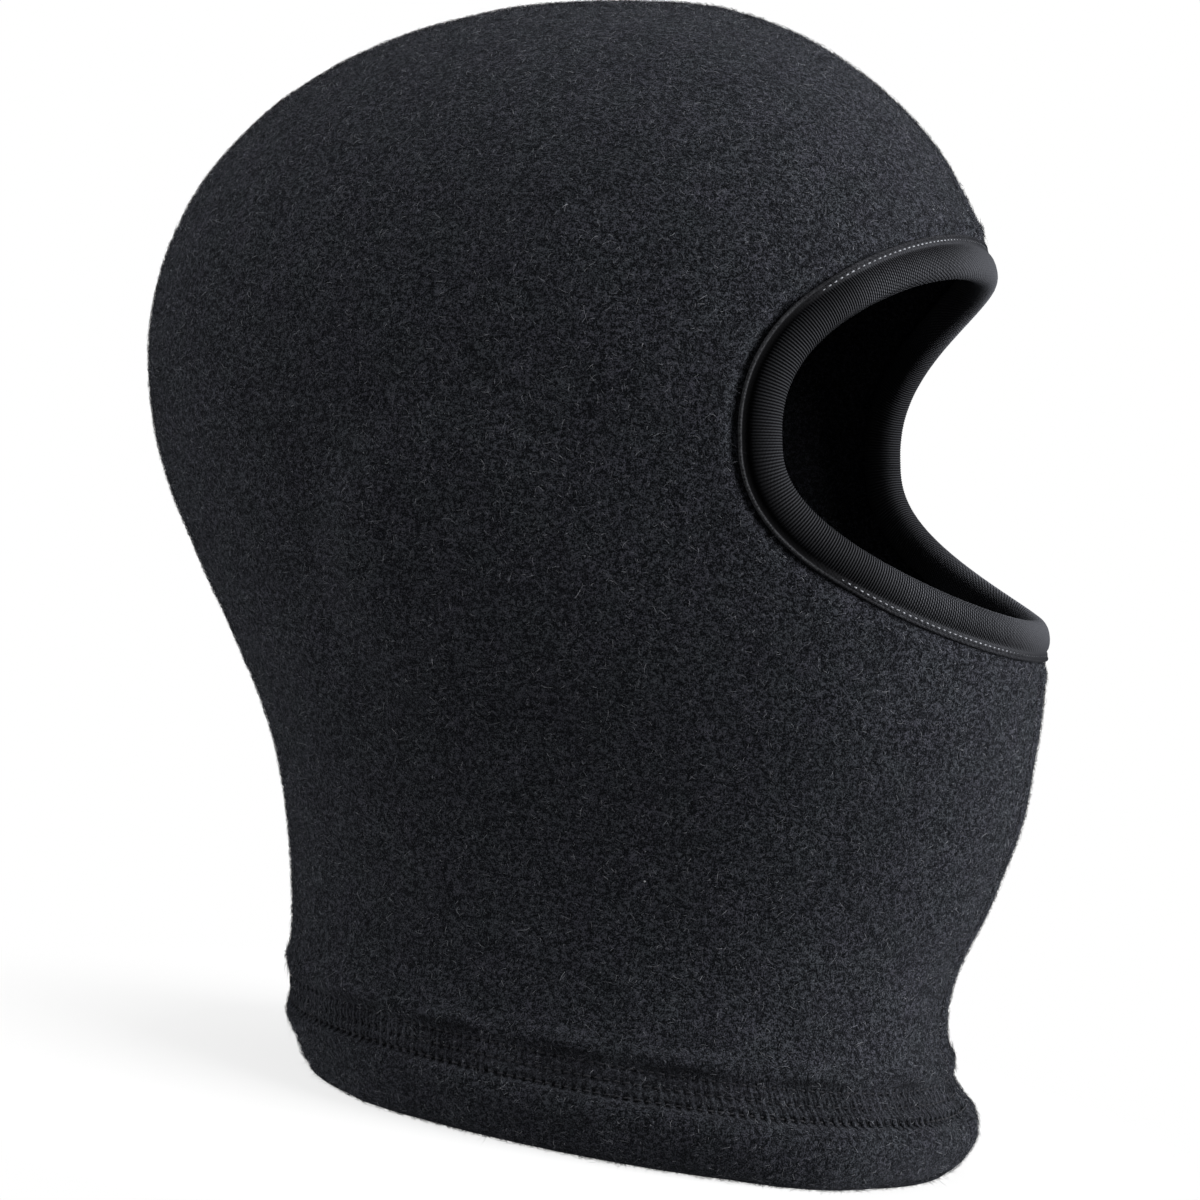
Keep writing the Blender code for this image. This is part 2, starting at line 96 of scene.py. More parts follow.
# Fleece panels.
PANEL_SIDES = {"right_panel": -1, "left_panel": 1}  # which way each panel lies along X
FLEECE = 0.003
PANEL_OVERLAP = 0.0001  # the panels press into each other at the middle seams
HEM_TOP = 0.0185
HEM_PLY_GAP = 0.0004
FINE_TOP = 0.0300  # the finely divided zone round the hem ends here
TYPICAL_REACH = 0.073  # from the middle of the head to the skin, to turn widths into angles
UPPER_COLUMNS = 196
INNER_STEP = 0.0016  # between the rows of the turned-up ply
FOLD_ROWS = 13
FINE_STEP = 0.0006
UPPER_STEP = 0.0017
UNEVENNESS = ((0.042, 0.00055), (0.014, 0.00028), (0.005, 0.00010))  # size and height of soft waves
HEM_TUCKS = (  # depth, and the Y and Z over which the hem is drawn in: at the front, and towards the nape
    (0.0012, (-0.085, -0.108), (0.017, 0.011)),
    (0.0019, (0.018, 0.046), (0.014, 0.003)),
)
CREASE_Y = HEM_MIDDLE_Y + 0.079
CREASE_Z = 0.030
CREASE_LEAN = 0.25
NAPE_CREASE = ((0.0011, 0.0, 0.0026, 0.012), (-0.0009, 0.006, 0.0035, 0.013))  # depth, ahead, width, height
SEAM_DIP = 0.0016
SEAM_WIDTH = 0.0017
ALLOWANCE_DEPTH = 0.0085
ALLOWANCE_GAP = 0.003  # the allowances end this far from the binding
ALLOWANCE_LOW_Z = 0.026
OVERLOCK_PITCH = 0.0024
OVERLOCK_RADIUS = 0.00016

# The hem's coverstitch.
ROW_NAMES = ("upper", "middle", "lower")
STITCH_PITCH = 0.0023
STITCH_SAG = 0.0003  # the stitch rows pull the cloth in this much below the threads
HEM_THREAD_RADIUS = 0.00017
LOOPER_RADIUS = 0.00018
PUCKER_PITCH = 0.029
PUCKER_SHIFT = 1.3  # where round the hem the puckers start, as a turn of their wave

# The face opening as seen from the front, at the fold of its binding.
OPENING_HALF_WIDTH = 0.0632
OPENING_MID_Z = 0.1618
OPENING_RISE = 0.0442
OPENING_DROP = 0.0314
OPENING_POWER = 2.44
RAW_EDGE = 0.0030

# The binding.
BAND_WIDTH = 0.0103
BAND_INNER_WIDTH = 0.0090
RIB_PITCH = 0.00060
RIB_HEIGHT = 0.00010
TWILL_PITCH = 0.00080
STATIONS_PER_RIB = 4
BEAD_NARROWING = 0.0004  # how much less the bead reaches out along the upper and lower runs
TOPSTITCH_FROM_EDGE = 0.0017
TOPSTITCH_FLOOR = 0.00082  # height above the skin where the topstitch shows
TOPSTITCH_PITCH = 0.0017
TOPSTITCH_RADIUS = 0.00015
JOIN_RADIUS = 0.0002
JOIN_STITCHES = 15
JOIN_SWING = 0.0011
JOIN_DEPTH = 0.00515  # the join's zigzag lies this far below the skin, on the inner ply

# The ear under the cloth, on each side.
EAR_Y = 0.006
EAR_Z = 0.126
EAR_LENGTH = 0.034
EAR_HEIGHT = 0.036
EAR_RISE = 0.0034
EAR_LEAN = 0.12
EAR_MIN_X = 0.030  # the ears raise nothing nearer to the middle plane

# The care label.
LABEL_REACH = 0.0255
LABEL_PLY = 0.0004
LABEL_HALF_GAP = 0.00035
LABEL_SHARE = 0.93  # the label leans, so it is shorter than its box is high
LABEL_WAVE = 0.00035  # how far the ribbon waves sideways

# Pale specks of lint.
LINT_SPACING = 0.024
LINT_SIZE = 0.0004

# Colours, as linear red, green and blue.
SHADE = (0.0012, 0.0012, 0.0015)
NAP_DARK = (0.0020, 0.0023, 0.0029)
NAP_MIDDLE = (0.010, 0.0102, 0.0126)
NAP_VIOLET = (0.058, 0.059, 0.074)
NAP_GREEN = (0.055, 0.061, 0.070)
LINT_TONE = (0.40, 0.41, 0.43)
# painted highlight on the raised ribs of the hem's coverstitch
HEM_RIB_HIGHLIGHT = (0.050, 0.052, 0.060)
FIBRE_TONES = (  # share of the fibres, and the colour there
    (0.0, (0.004, 0.0042, 0.0052)),
    (0.58, (0.009, 0.0094, 0.0117)),
    (0.86, (0.044, 0.0455, 0.054)),
    (0.95, (0.15, 0.154, 0.174)),
    (1.0, (0.33, 0.34, 0.37)),
)
BAND_SIDE = (0.029, 0.0298, 0.0335)
BAND_FRONT_DARK = (0.004, 0.0042, 0.0052)
BAND_FRONT = (0.096, 0.099, 0.111)
BEAD_TONE = (0.036, 0.037, 0.040)
SEAM_THREAD_TONES = ((0.008, 0.008, 0.010), (0.022, 0.022, 0.026))
TOPSTITCH_TONES = ((0.15, 0.155, 0.17), (0.32, 0.33, 0.36))
RIBBON_AGED = (0.62, 0.61, 0.58)
RIBBON_WHITE = (0.74, 0.74, 0.73)
FLOOR_TONE = (0.95, 0.95, 0.95)
FLOOR_FADE = ((0.09, (0.24, 0.24, 0.24)), (0.17, (0.0, 0.0, 0.0)))  # distance in metres, what shows
SHEEN_TINT = (0.80, 0.86, 1.0)
SHEEN_ROUGHNESS = 0.45

# The nap. Each of a fibre's four points has its share of the lift, the lean and the curl.
FIBRES = 520000
FIBRE_SHAPE = ((0.0, 0.0, 0.0), (0.45, 0.25, 0.0), (0.80, 0.60, 0.25), (0.85, 0.95, 0.70))
FIBRE_TAPER = (1.0, 1.0, 0.8, 0.35)
FIBRE_RADII = (0.016, 0.030)  # thinnest and thickest, in mm
FIBRE_ROOT = 0.00025  # how deep a fibre starts in the cloth
NAP_MARGIN = 0.0011  # how far from the bead the nap ends, beside the open groove
ROW_HALF_WIDTH = 0.0009
ROW_SHARE = 0.45  # how much of the nap is left on the stitch rows

# The stage.
AMBIENT = 0.18  # light from the backdrop, which the camera itself sees as white
LIGHTS = (  # name, place from the middle of the hood, size, power
    ("key", (-0.08, -1.20, 0.36), 1.1, 43.0),
    ("top", (0.1, 0.1, 1.3), 0.9, 9.0),
    ("back", (-0.60, 1.1, 0.30), 0.6, 15.0),
)
FLOOR_REACH = 1.6
CAMERA_LEAN = math.radians(8.3)
CAMERA_TURN = math.radians(17.0)
CAMERA_DISTANCE = 0.760
CAMERA_TARGET = Vector((0.0, -0.0045, 0.1197))
HALF_FRAME = 0.144
SENSOR_WIDTH = 36.0


# ------------------------ the skin, as a formula


def station_value(height, column):
    """A column of STATIONS at this height, on a smooth curve that stands upright at the temple line."""
    heights = STATIONS[:, 0]
    values = STATIONS[:, column]
    slopes = np.gradient(values, heights)
    slopes[-1] = 0.0
    below = np.clip(np.searchsorted(heights, height) - 1, 0, len(heights) - 2)
    gap = heights[below + 1] - heights[below]
    t = (height - heights[below]) / gap
    start = (1 + 2 * t) * (1 - t) ** 2 * values[below] + t * (1 - t) ** 2 * gap * slopes[below]
    end = t**2 * (3 - 2 * t) * values[below + 1] + t**2 * (t - 1) * gap * slopes[below + 1]
    return start + end


def sharp_reach(height):
    """Front, back, half width and widest point of the CAD skin's ring at this height."""
    body = np.clip(height, 0.0, TEMPLE_Z)
    front, back, half, widest = (station_value(body, column) for column in (1, 2, 3, 4))
    rise = np.clip((height - TEMPLE_Z) / (CROWN_Z - TEMPLE_Z), 0.0, 1.0)
    shrink = np.sqrt(1.0 - rise**2)
    leaning = np.where(rise > 0, 1.0, 0.0)
    front = front + leaning * (CROWN_Y - front) * (1 - shrink)
    back = back + leaning * (CROWN_Y - back) * (1 - shrink)
    widest = widest + (CROWN_Y - widest) * rise**2
    return np.stack([front, back, half * shrink, widest])


def ring_reach(height):
    """sharp_reach averaged over a short span of heights, which takes the edge off the temple line."""
    fade_high = np.clip((CROWN_Z - height) / 0.07, 0.0, 1.0)
    fade_low = np.clip((height - FINE_TOP) / 0.03, 0.0, 1.0)
    span = SOFTEN_SPAN * fade_high * fade_low
    shares = (-1.0, -0.5, 0.0, 0.5, 1.0)
    return sum(sharp_reach(height + share * span) for share in shares) / len(shares)


def skin_point(angle, height):
    """A point of the skin: angle 0 is the front and a quarter turn is the wearer's left."""
    front, back, half, widest = ring_reach(height)
    c, s = np.cos(angle), np.sin(angle)
    radius = (np.abs(c) ** RING_POWER + np.abs(s) ** RING_POWER) ** (-1 / RING_POWER)
    reach = np.where(c > 0, front - widest, back - widest)
    y = widest + reach * radius * np.abs(c)
    return np.stack(np.broadcast_arrays(half * radius * s, y, height), axis=-1)


def skin_level(points):
    """Below 0 inside the skin, 0 on it and above 0 outside it."""
    x, y, z = points[..., 0], points[..., 1], points[..., 2]
    front, back, half, widest = ring_reach(z)
    reach = np.where(y < widest, widest - front, back - widest)
    across = np.abs(x / half) ** RING_POWER
    along = np.abs((y - widest) / reach) ** RING_POWER
    return (across + along) ** (1 / RING_POWER) - 1


def skin_slope(points):
    """The gradient of skin_level, which points straight out of the skin."""
    step = 1e-5
    sides = []
    for axis in np.eye(3) * step:
        sides.append((skin_level(points + axis) - skin_level(points - axis)) / (2 * step))
    return np.stack(sides, axis=-1)


def unit(vectors):
    """The vectors at length 1."""
    return vectors / np.maximum(np.linalg.norm(vectors, axis=-1, keepdims=True), 1e-12)


def on_skin(points):
    """The points moved straight onto the skin, and the skin's outward direction there."""
    for _ in range(3):
        slope = skin_slope(points)
        points = points - slope * (skin_level(points) / (slope**2).sum(axis=-1))[..., None]
    return points, unit(skin_slope(points))


def smooth_noise(points, cell, seed):
    """Value noise between -1 and 1 with features of about this size."""
    place = points / cell
    base = np.floor(place).astype(np.int64)
    t = place - base
    t = t * t * (3 - 2 * t)
    total = np.zeros(points.shape[:-1])
    for corner in np.ndindex(2, 2, 2):
        offset = np.array(corner)
        lattice = (base + offset) * np.array([73856093, 19349663, 83492791])
        mixed = (lattice[..., 0] ^ lattice[..., 1] ^ lattice[..., 2]) + seed * 2654435761
        mixed = (mixed ^ (mixed >> 13)) * 1274126177
        value = ((mixed ^ (mixed >> 16)) & 0xFFFF) / 0x7FFF - 1.0
        weight = np.prod(np.where(offset == 1, t, 1 - t), axis=-1)
        total += weight * value
    return total


def bump(value, centre, width):
    """A smooth hill of height 1 round a centre."""
    return np.exp(-(((value - centre) / width) ** 2))


def fade(value, start, end):
    """0 before start, 1 after end and smooth between them. The two may be in either order."""
    t = np.clip((value - start) / (end - start), 0.0, 1.0)
    return t * t * (3 - 2 * t)


# ------------------------ mesh helpers


def link_object(name, data):
    """A new object of this data, in the scene."""
    made = bpy.data.objects.new(name, data)
    bpy.context.scene.collection.objects.link(made)
    return made


def add_mesh(name, points, faces, material):
    """A smooth mesh object from numpy points and lists of corners."""
    mesh = bpy.data.meshes.new(name)
    mesh.from_pydata(points.tolist(), [], faces)
    mesh.shade_smooth()
    mesh.materials.append(material)
    return link_object(name, mesh)


def hood_piece(obj, node):
    """Hides the CAD node that the piece stands for, and lets the piece ride on the hood."""
    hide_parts(node)
    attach(obj, "hood")


def numbered(grid):
    """The number of each point in a grid of points."""
    return np.arange(grid[..., 0].size).reshape(grid.shape[:2])


def grid_quads(ids):
    """Quads between the rows of a grid of vertex numbers."""
    corners = (ids[:-1, :-1], ids[:-1, 1:], ids[1:, 1:], ids[1:, :-1])
    return np.stack([corner.ravel() for corner in corners], axis=-1)


def section_quads(ids, ring=False):
    """Quads of a closed section swept along rows. The rows can close into a ring too."""
    if ring:
        ids = np.vstack([ids, ids[:1]])
    return grid_quads(np.hstack([ids, ids[:, :1]]))


def tube(name, points, radius, material, closed):
    """A round thread along the points."""
    curve = bpy.data.curves.new(name, "CURVE")
    curve.dimensions = "3D"
    curve.bevel_depth = radius
    curve.bevel_resolution = 2
    curve.use_fill_caps = not closed
    spline = curve.splines.new("POLY")
    spline.points.add(len(points) - 1)
    spline.points.foreach_set("co", np.column_stack([points, np.ones(len(points))]).ravel())
    spline.use_cyclic_u = closed
    curve.materials.append(material)
    return link_object(name, curve)


def point_tree(points):
    """A tree that finds the closest of these points."""
    tree = KDTree(len(points))
    for number, point in enumerate(points):
        tree.insert(point, number)
    tree.balance()
    return tree


def write_uv(piece, name, values):
    """A UV map with one value for each point."""
    mesh = piece.data
    vertex = np.empty(len(mesh.loops), np.int64)
    mesh.loops.foreach_get("vertex_index", vertex)
    layer = mesh.uv_layers.new(name=name)
    layer.data.foreach_set("uv", values[vertex].astype(np.float32).ravel())


def closed_shell(outer, inner, faces):
    """Points and faces of the solid between two sheets that share their faces."""
    count = len(outer)
    edges = set()
    for face in faces:
        edges.update(zip(face, face[1:] + face[:1]))
    rim = [(b, a, a + count, b + count) for a, b in edges if (b, a) not in edges]
    back = [[corner + count for corner in reversed(face)] for face in faces]
    return np.vstack([outer, inner]), faces + back + rim


# ------------------------ materials


class Value:
    """What a node works out. Values can be added, multiplied and so on."""

    def __init__(self, nodes, output):
        self.nodes = nodes
        self.output = output

    def __add__(self, other):
        return self.nodes.math("ADD", self, other)

    def __sub__(self, other):
        return self.nodes.math("SUBTRACT", self, other)

    def __rsub__(self, other):
        return self.nodes.math("SUBTRACT", other, self)

    def __mul__(self, other):
        return self.nodes.math("MULTIPLY", self, other)

    def __truediv__(self, other):
        return self.nodes.math("DIVIDE", self, other)


class Nodes:
    """A short way to write a material's nodes."""

    def __init__(self, name):
        self.material = bpy.data.materials.new(name)
        self.material.use_nodes = True
        self.tree = self.material.node_tree
        self.shader = self.tree.nodes["Principled BSDF"]

    def node(self, kind, inputs, output, **settings):
        """A node with these properties and inputs, as the Value of its output."""
        made = self.tree.nodes.new(kind)
        for key, value in settings.items():
            setattr(made, key, value)
        for key, value in inputs.items():
            self.feed(value, made.inputs[key])
        return Value(self, made.outputs[output])

    def feed(self, value, socket):
        """Gives an input a number, a colour, a vector or a Value."""
        if isinstance(value, Value):
            self.tree.links.new(value.output, socket)
        elif isinstance(value, tuple) and socket.type == "RGBA":
            socket.default_value = (*value, 1.0)
        else:
            socket.default_value = value

    def place(self):
        """The point in the row frame."""
        return self.node("ShaderNodeTexCoord", {}, "Object")

    def uv(self, name):
        """The two values of a UV map."""
        return self.parts(self.node("ShaderNodeUVMap", {}, "UV", uv_map=name))[:2]

    def parts(self, vector):
        """The X, Y and Z of a vector."""
        first = self.node("ShaderNodeSeparateXYZ", {"Vector": vector}, "X")
        return [Value(self, output) for output in first.output.node.outputs]

    def scaled(self, vector, scale):
        """A vector scaled along each axis."""
        return self.node("ShaderNodeMapping", {"Vector": vector, "Scale": scale}, "Vector")

    def noise(self, source, size, detail=2.0, roughness=0.5):
        """Noise with features of about this size."""
        inputs = {"Vector": source, "Scale": 1.0 / size, "Detail": detail, "Roughness": roughness}
        return self.node("ShaderNodeTexNoise", inputs, "Fac")

    def math(self, operation, *values):
        """A Math node."""
        return self.node("ShaderNodeMath", dict(enumerate(values)), 0, operation=operation)

    def fade(self, value, start, end):
        """0 before start, 1 after end and smooth between them."""
        inputs = {"Value": value, "From Min": start, "From Max": end}
        return self.node("ShaderNodeMapRange", inputs, "Result", interpolation_type="SMOOTHSTEP")

    def hill(self, value, centre, width):
        """A flat-topped hill of height 1 round a centre."""
        away = (value - centre) / width
        square = away * away
        return self.math("DIVIDE", 1.0, square * square + 1.0)

    def wave(self, value, pitch, shift=0.0):
        """A cosine between 0 and 1 that repeats at this pitch."""
        return self.math("COSINE", value * (2 * math.pi / pitch) + shift) * 0.5 + 0.5

    def ramp(self, source, *stops):
        """Colours at positions from 0 to 1."""
        value = self.node("ShaderNodeValToRGB", {"Fac": source}, "Color")
        elements = value.output.node.color_ramp.elements
        while len(elements) < len(stops):
            elements.new(0.5)
        for element, (position, color) in zip(elements, stops):
            element.position = position
            element.color = (*color, 1.0)
        return value

    def blend(self, share, first, second):
        """A mix of two colours."""
        return self.node("ShaderNodeMix", {"Factor": share, 6: first, 7: second}, 2, data_type="RGBA")

    def surface(self, tone, *layers, roughness, specular, sheen=0.0):
        """Sets the colour, the cloths' shared finish, and bumps, each a height and a depth in metres."""
        normal = None
        for height, depth in layers:
            inputs = {"Strength": 1.0, "Distance": depth, "Height": height}
            if normal is not None:
                inputs["Normal"] = normal
            normal = self.node("ShaderNodeBump", inputs, "Normal")
        finish = {
            "Base Color": tone,
            "Metallic": 0.0,
            "Roughness": roughness,
            "Specular IOR Level": specular,
            "Sheen Weight": sheen,
            "Sheen Roughness": SHEEN_ROUGHNESS,
            "Sheen Tint": SHEEN_TINT,
        }
        if normal is not None:
            finish["Normal"] = normal
        for name, value in finish.items():
            self.feed(value, self.shader.inputs[name])
        return self.material


def fleece_material(row_heights):
    """Charcoal fleece: a mottled, slightly blue nap with pale specks of lint and dark stitch holes.

    On the hem, painted shade darkens the stitch holes, a line just above the upper stitch row and
    patches over the stitched band. A painted highlight lightens the raised ribs across the stitched band.
    """
    made = Nodes("fleece")
    place = made.place()
    upper, middle, _ = row_heights
    clumps = made.noise(made.scaled(place, (1.0, 1.0, 1.35)), 1.2 * MM, 3.0, 0.65)
    grain = made.noise(place, 0.34 * MM, 2.0, 0.6)
    hue = made.ramp(made.noise(place, 9 * MM), (0.35, NAP_VIOLET), (0.65, NAP_GREEN))
    tone = made.blend(made.fade(grain * 0.55 + clumps * 0.45, 0.455, 0.605), NAP_DARK, hue)
    tone = made.blend(made.noise(place, 16 * MM) * 0.40, tone, NAP_MIDDLE)
    cells = {"Vector": place, "Scale": 1.0 / LINT_SPACING}
    to_cell = made.node("ShaderNodeTexVoronoi", cells, "Distance", feature="F1")
    lint = made.math("LESS_THAN", to_cell, LINT_SIZE / LINT_SPACING)
    tone = made.blend(lint, tone, LINT_TONE)

    around, height = made.uv("hem")
    stitch = made.fade(made.wave(around, STITCH_PITCH), 0.35, 0.85)
    pulled = made.wave(around, PUCKER_PITCH, PUCKER_SHIFT)
    ribs = made.wave(around, STITCH_PITCH / 2) * made.hill(height, middle, 3.4 * MM)
    # painted highlight: the hem's raised ribs are lighter
    tone = made.blend(ribs * 0.11, tone, HEM_RIB_HIGHLIGHT)
    # painted shade in the stitch holes of the three rows; the same holes are also dimpled by the bump
    first, second, third = (
        made.hill(height, row - STITCH_SAG, 0.75 * MM) * stitch * depth
        for row, depth in zip(row_heights, (0.30, 0.35, 0.85))
    )
    holes = first + second + third
    # painted shadow in a line just above the upper row, and painted shade in patches over the stitched band
    brow = made.hill(height, upper + 1.5 * MM, 0.7 * MM) * pulled * 0.55
    shaded = made.hill(height, middle, 4.4 * MM) * (pulled + 0.35) * made.fade(clumps, 0.30, 0.60)
    # all of this is painted shade, blended towards SHADE
    dark = made.math("MINIMUM", shaded * 0.34 + brow + holes, 1.0)
    tone = made.blend(dark, tone, SHADE)
    bumps = ((clumps, 0.8 * MM), (grain, 0.36 * MM), (ribs * 0.3 - holes, 0.6 * MM))
    return made.surface(tone, *bumps, roughness=0.95, specular=0.03, sheen=0.07)


def fibre_material():
    """The loose fibres of the nap, most of them dark and a few quite pale."""
    made = Nodes("fleece_fibres")
    tone = made.ramp(made.node("ShaderNodeHairInfo", {}, "Random"), *FIBRE_TONES)
    return made.surface(tone, roughness=0.8, specular=0.06)


def band_material():
    """Ribbed knit elastic. U runs along the band and V round its section, both in metres.

    It is dark and plainly ribbed at the sides. Towards the middle of the face it is stretched: the ribs
    break up into a twill and then into a smooth, paler surface. In a second map U is 1 on the floor of the
    open groove and -1 on the bead beside it, and V is 1 where the ribs are.
    At the sides a painted highlight lightens the band towards the fold. Painted shade darkens it towards
    the groove and on the groove's floor, less so at the middle of the face.
    """
    made = Nodes("elastic_band")
    place = made.place()
    along, round_section = made.uv("band")
    open_groove, ribbed = made.uv("zone")
    groove = made.math("MAXIMUM", open_groove, 0.0)
    bead = made.math("MAXIMUM", open_groove * -1.0, 0.0)
    across = made.math("ABSOLUTE", made.parts(place)[0]) / OPENING_HALF_WIDTH
    stretched = 1.0 - made.fade(across, 0.30, 0.97)
    paler = made.fade(stretched, 0.02, 0.30)
    smooth = 1.0 - made.fade(across, 0.05, 0.50)

    rib = made.wave(along, RIB_PITCH)
    twill = made.fade(made.wave(along * 0.55 + round_section, TWILL_PITCH), 0.10, 0.60)
    weave = 1.0 - (paler * 0.60 + 0.15) * (1.0 - twill)
    contrast = ribbed * (smooth * -0.7 + 1.0)
    knit = 1.0 - contrast * (1.0 - made.fade(rib, 0.22, 0.80) * weave)
    specks = made.fade(made.noise(place, 0.4 * MM), 0.28, 0.62)
    plain = (paler * -0.65 + 0.90) * specks * (rib * 0.40 + 0.60)
    knit = (ribbed * (knit - plain) + plain) * (smooth * -0.52 + 1.0)

    # painted highlight: at the sides the band gets lighter towards the fold, which turns to the light
    rim = made.fade(round_section, 0.50 * BAND_WIDTH, BAND_WIDTH)
    side = made.ramp(knit * (rim * 0.50 + 0.50), (0.0, SHADE), (0.95, BAND_SIDE))
    front = made.ramp(knit, (0.0, BAND_FRONT_DARK), (0.95, BAND_FRONT))
    tone = made.blend(made.fade(stretched, 0.0, 0.32), side, front)
    tone = made.blend(bead * plain, tone, BEAD_TONE)
    shade = 1.0 - made.fade(round_section, 0.35 * BAND_WIDTH, 1.1 * BAND_WIDTH)
    shade = shade * (ribbed * 0.85 + groove) * (smooth * -0.6 + 1.0)
    tone = made.blend(made.math("MINIMUM", shade, 0.95), tone, SHADE)
    bumps = ((rib * contrast, 0.25 * MM), (weave, 0.14 * MM), (made.noise(place, 0.25 * MM), 0.07 * MM))
    return made.surface(tone, *bumps, roughness=0.85, specular=0.05, sheen=0.02)


def thread_material(name, dark, light):
    """Spun thread: fine twisted fibres with a slight change of tone along it."""
    made = Nodes(name)
    place = made.place()
    tone = made.ramp(made.noise(place, 0.8 * MM), (0.3, dark), (0.7, light))
    fibres = made.noise(place, 0.12 * MM)
    return made.surface(tone, (fibres, 0.05 * MM), roughness=0.6, specular=0.15, sheen=0.05)


def ribbon_material():
    """Blank satin ribbon with a fine weave and slightly yellowed edges."""
    made = Nodes("label_ribbon")
    place = made.place()
    tone = made.ramp(made.noise(place, 7 * MM), (0.3, RIBBON_AGED), (0.7, RIBBON_WHITE))
    threads = made.noise(made.scaled(place, (6.0, 0.6, 6.0)), 0.5 * MM)
    return made.surface(tone, (threads, 0.06 * MM), roughness=0.45, specular=0.3, sheen=0.2)


def floor_material():
    """Pale matt floor that fades out into the backdrop."""
    made = Nodes("pale_floor")
    out = made.node("ShaderNodeVectorMath", {0: made.place()}, "Value", operation="LENGTH")
    shown = made.ramp(out, *FLOOR_FADE)
    made.feed(shown, made.shader.inputs["Alpha"])
    made.feed(FLOOR_TONE, made.shader.inputs["Base Color"])
    made.feed(0.9, made.shader.inputs["Roughness"])
    made.feed(0.1, made.shader.inputs["Specular IOR Level"])
    return made.material


# ------------------------ the face opening


def opening_line(count):
    """Points of the skin round the face opening at even steps, anticlockwise as seen from the front."""
    turn = np.arange(2 * count) * (math.pi / count)
    c, s = np.cos(turn), np.sin(turn)
    x = OPENING_HALF_WIDTH * np.sign(c) * np.abs(c) ** (2 / OPENING_POWER)
    reach = np.where(s > 0, OPENING_RISE, OPENING_DROP)
    z = OPENING_MID_Z + reach * np.sign(s) * np.abs(s) ** (2 / OPENING_POWER)
    front, _, half, widest = ring_reach(z)
    y = widest - (widest - front) * (1 - np.abs(x / half) ** RING_POWER) ** (1 / RING_POWER)
    return even_steps(np.stack([x, y, z], axis=-1), count)


def length_along(points):
    """How far along the line each of its points is."""
    steps = np.linalg.norm(np.diff(points, axis=0), axis=1)
    return np.concatenate([[0.0], np.cumsum(steps)])


def even_steps(points, count):
    """The closed line through the points, as this many points at even distances."""
    closed = np.vstack([points, points[:1]])
    length = length_along(closed)
    places = np.arange(count) * (length[-1] / count)
    return np.stack([np.interp(places, length, closed[:, axis]) for axis in range(3)], axis=-1)


def line_length(points):
    """The length of a closed line."""
    return np.linalg.norm(points - np.roll(points, 1, axis=0), axis=1).sum()


def beside_opening(line, distance):
    """The line moved this far away from the opening along the skin, the way it moved, and the way out."""
    here, normal = on_skin(line)
    along = np.roll(line, -1, axis=0) - np.roll(line, 1, axis=0)
    away = unit(np.cross(along, normal))
    steps = 4
    for _ in range(steps):
        here, normal = on_skin(here + away * (distance / steps))
    return here, unit(away - normal * (away * normal).sum(axis=-1, keepdims=True)), normal


# ------------------------ fleece panels


def ear_relief(points):
    """The ear pushes the cloth out: a gentle rise from the cheek and a steeper fall behind the rim."""
    x, y, z = np.moveaxis(points, -1, 0)
    along = (y - EAR_Y) / EAR_LENGTH
    up = (z - EAR_Z - EAR_LEAN * (y - EAR_Y)) / EAR_HEIGHT
    rim = np.hypot(np.where(along > 0, along, 0.75 * along), up)
    dome = fade(rim, 1.12, 0.62)
    tilt = 0.62 + 0.38 * np.clip(along, -1.0, 1.0)
    hollow = 0.30 * bump(along, 0.18, 0.38) * bump(up, 0.05, 0.5)
    return EAR_RISE * dome * (tilt - hollow) * (np.abs(x) > EAR_MIN_X)


def hem_relief(z, around, row_heights):
    """Stitch rows with a dimple at each stitch, and the puckers that the hem's pull makes."""
    upper, _, lower = row_heights
    stitched = fade(z, lower - 1.6 * MM, lower - 0.2 * MM) * fade(z, upper + 1.6 * MM, upper + 0.2 * MM)
    stitch = 0.5 + 0.5 * np.cos(2 * math.pi * around / STITCH_PITCH)
    depths = zip(row_heights, (0.7, 0.7, 1.0))
    rows = sum(bump(z, row - STITCH_SAG, 0.7 * MM) * depth for row, depth in depths)
    channels = -(0.30 + 0.65 * stitch) * MM * rows
    wave = 0.5 + 0.5 * np.cos(2 * math.pi * around / PUCKER_PITCH + PUCKER_SHIFT)
    step = (0.8 + 0.7 * wave) * MM * bump(z, upper + 3.2 * MM, 1.9 * MM)
    shelf = -0.45 * MM * stitched
    below = (0.35 + 0.4 * wave) * MM * bump(z, lower - 3.2 * MM, 2.6 * MM)
    return channels + step + shelf + below


def binding_relief(beyond, deep):
    """The cloth lies flat under the binding, dips beside its raised edge and swells a little beyond."""
    dip = (0.15 + 0.95 * deep) * MM * bump(beyond, 0.4 * MM, 1.0 * MM)
    swell = 0.55 * MM * bump(beyond, 3.4 * MM, 2.2 * MM)
    return (swell - dip) * (beyond > 0) - 0.45 * MM * fade(beyond, 0.2 * MM, -1.0 * MM)


def cloth_relief(points, around, row_heights):
    """How far the finished cloth stands off the skin at each point."""
    x, y, z = np.moveaxis(points, -1, 0)
    relief = ear_relief(points) + hem_relief(z, around, row_heights)
    for number, (size, height) in enumerate(UNEVENNESS):
        relief += height * smooth_noise(points, size, SEED + number)
    relief -= SEAM_DIP * bump(x, 0.0, SEAM_WIDTH)
    relief += 0.5 * MM * bump(np.abs(x), 3.2 * SEAM_WIDTH, 1.6 * SEAM_WIDTH)
    for depth, along, up in HEM_TUCKS:
        relief -= depth * fade(y, *along) * fade(z, *up)
    for depth, ahead, width, height in NAPE_CREASE:
        fold_y = CREASE_Y - ahead + CREASE_LEAN * (CREASE_Z - z)
        relief -= depth * bump(y, fold_y, width) * bump(z, CREASE_Z, height)
    return relief


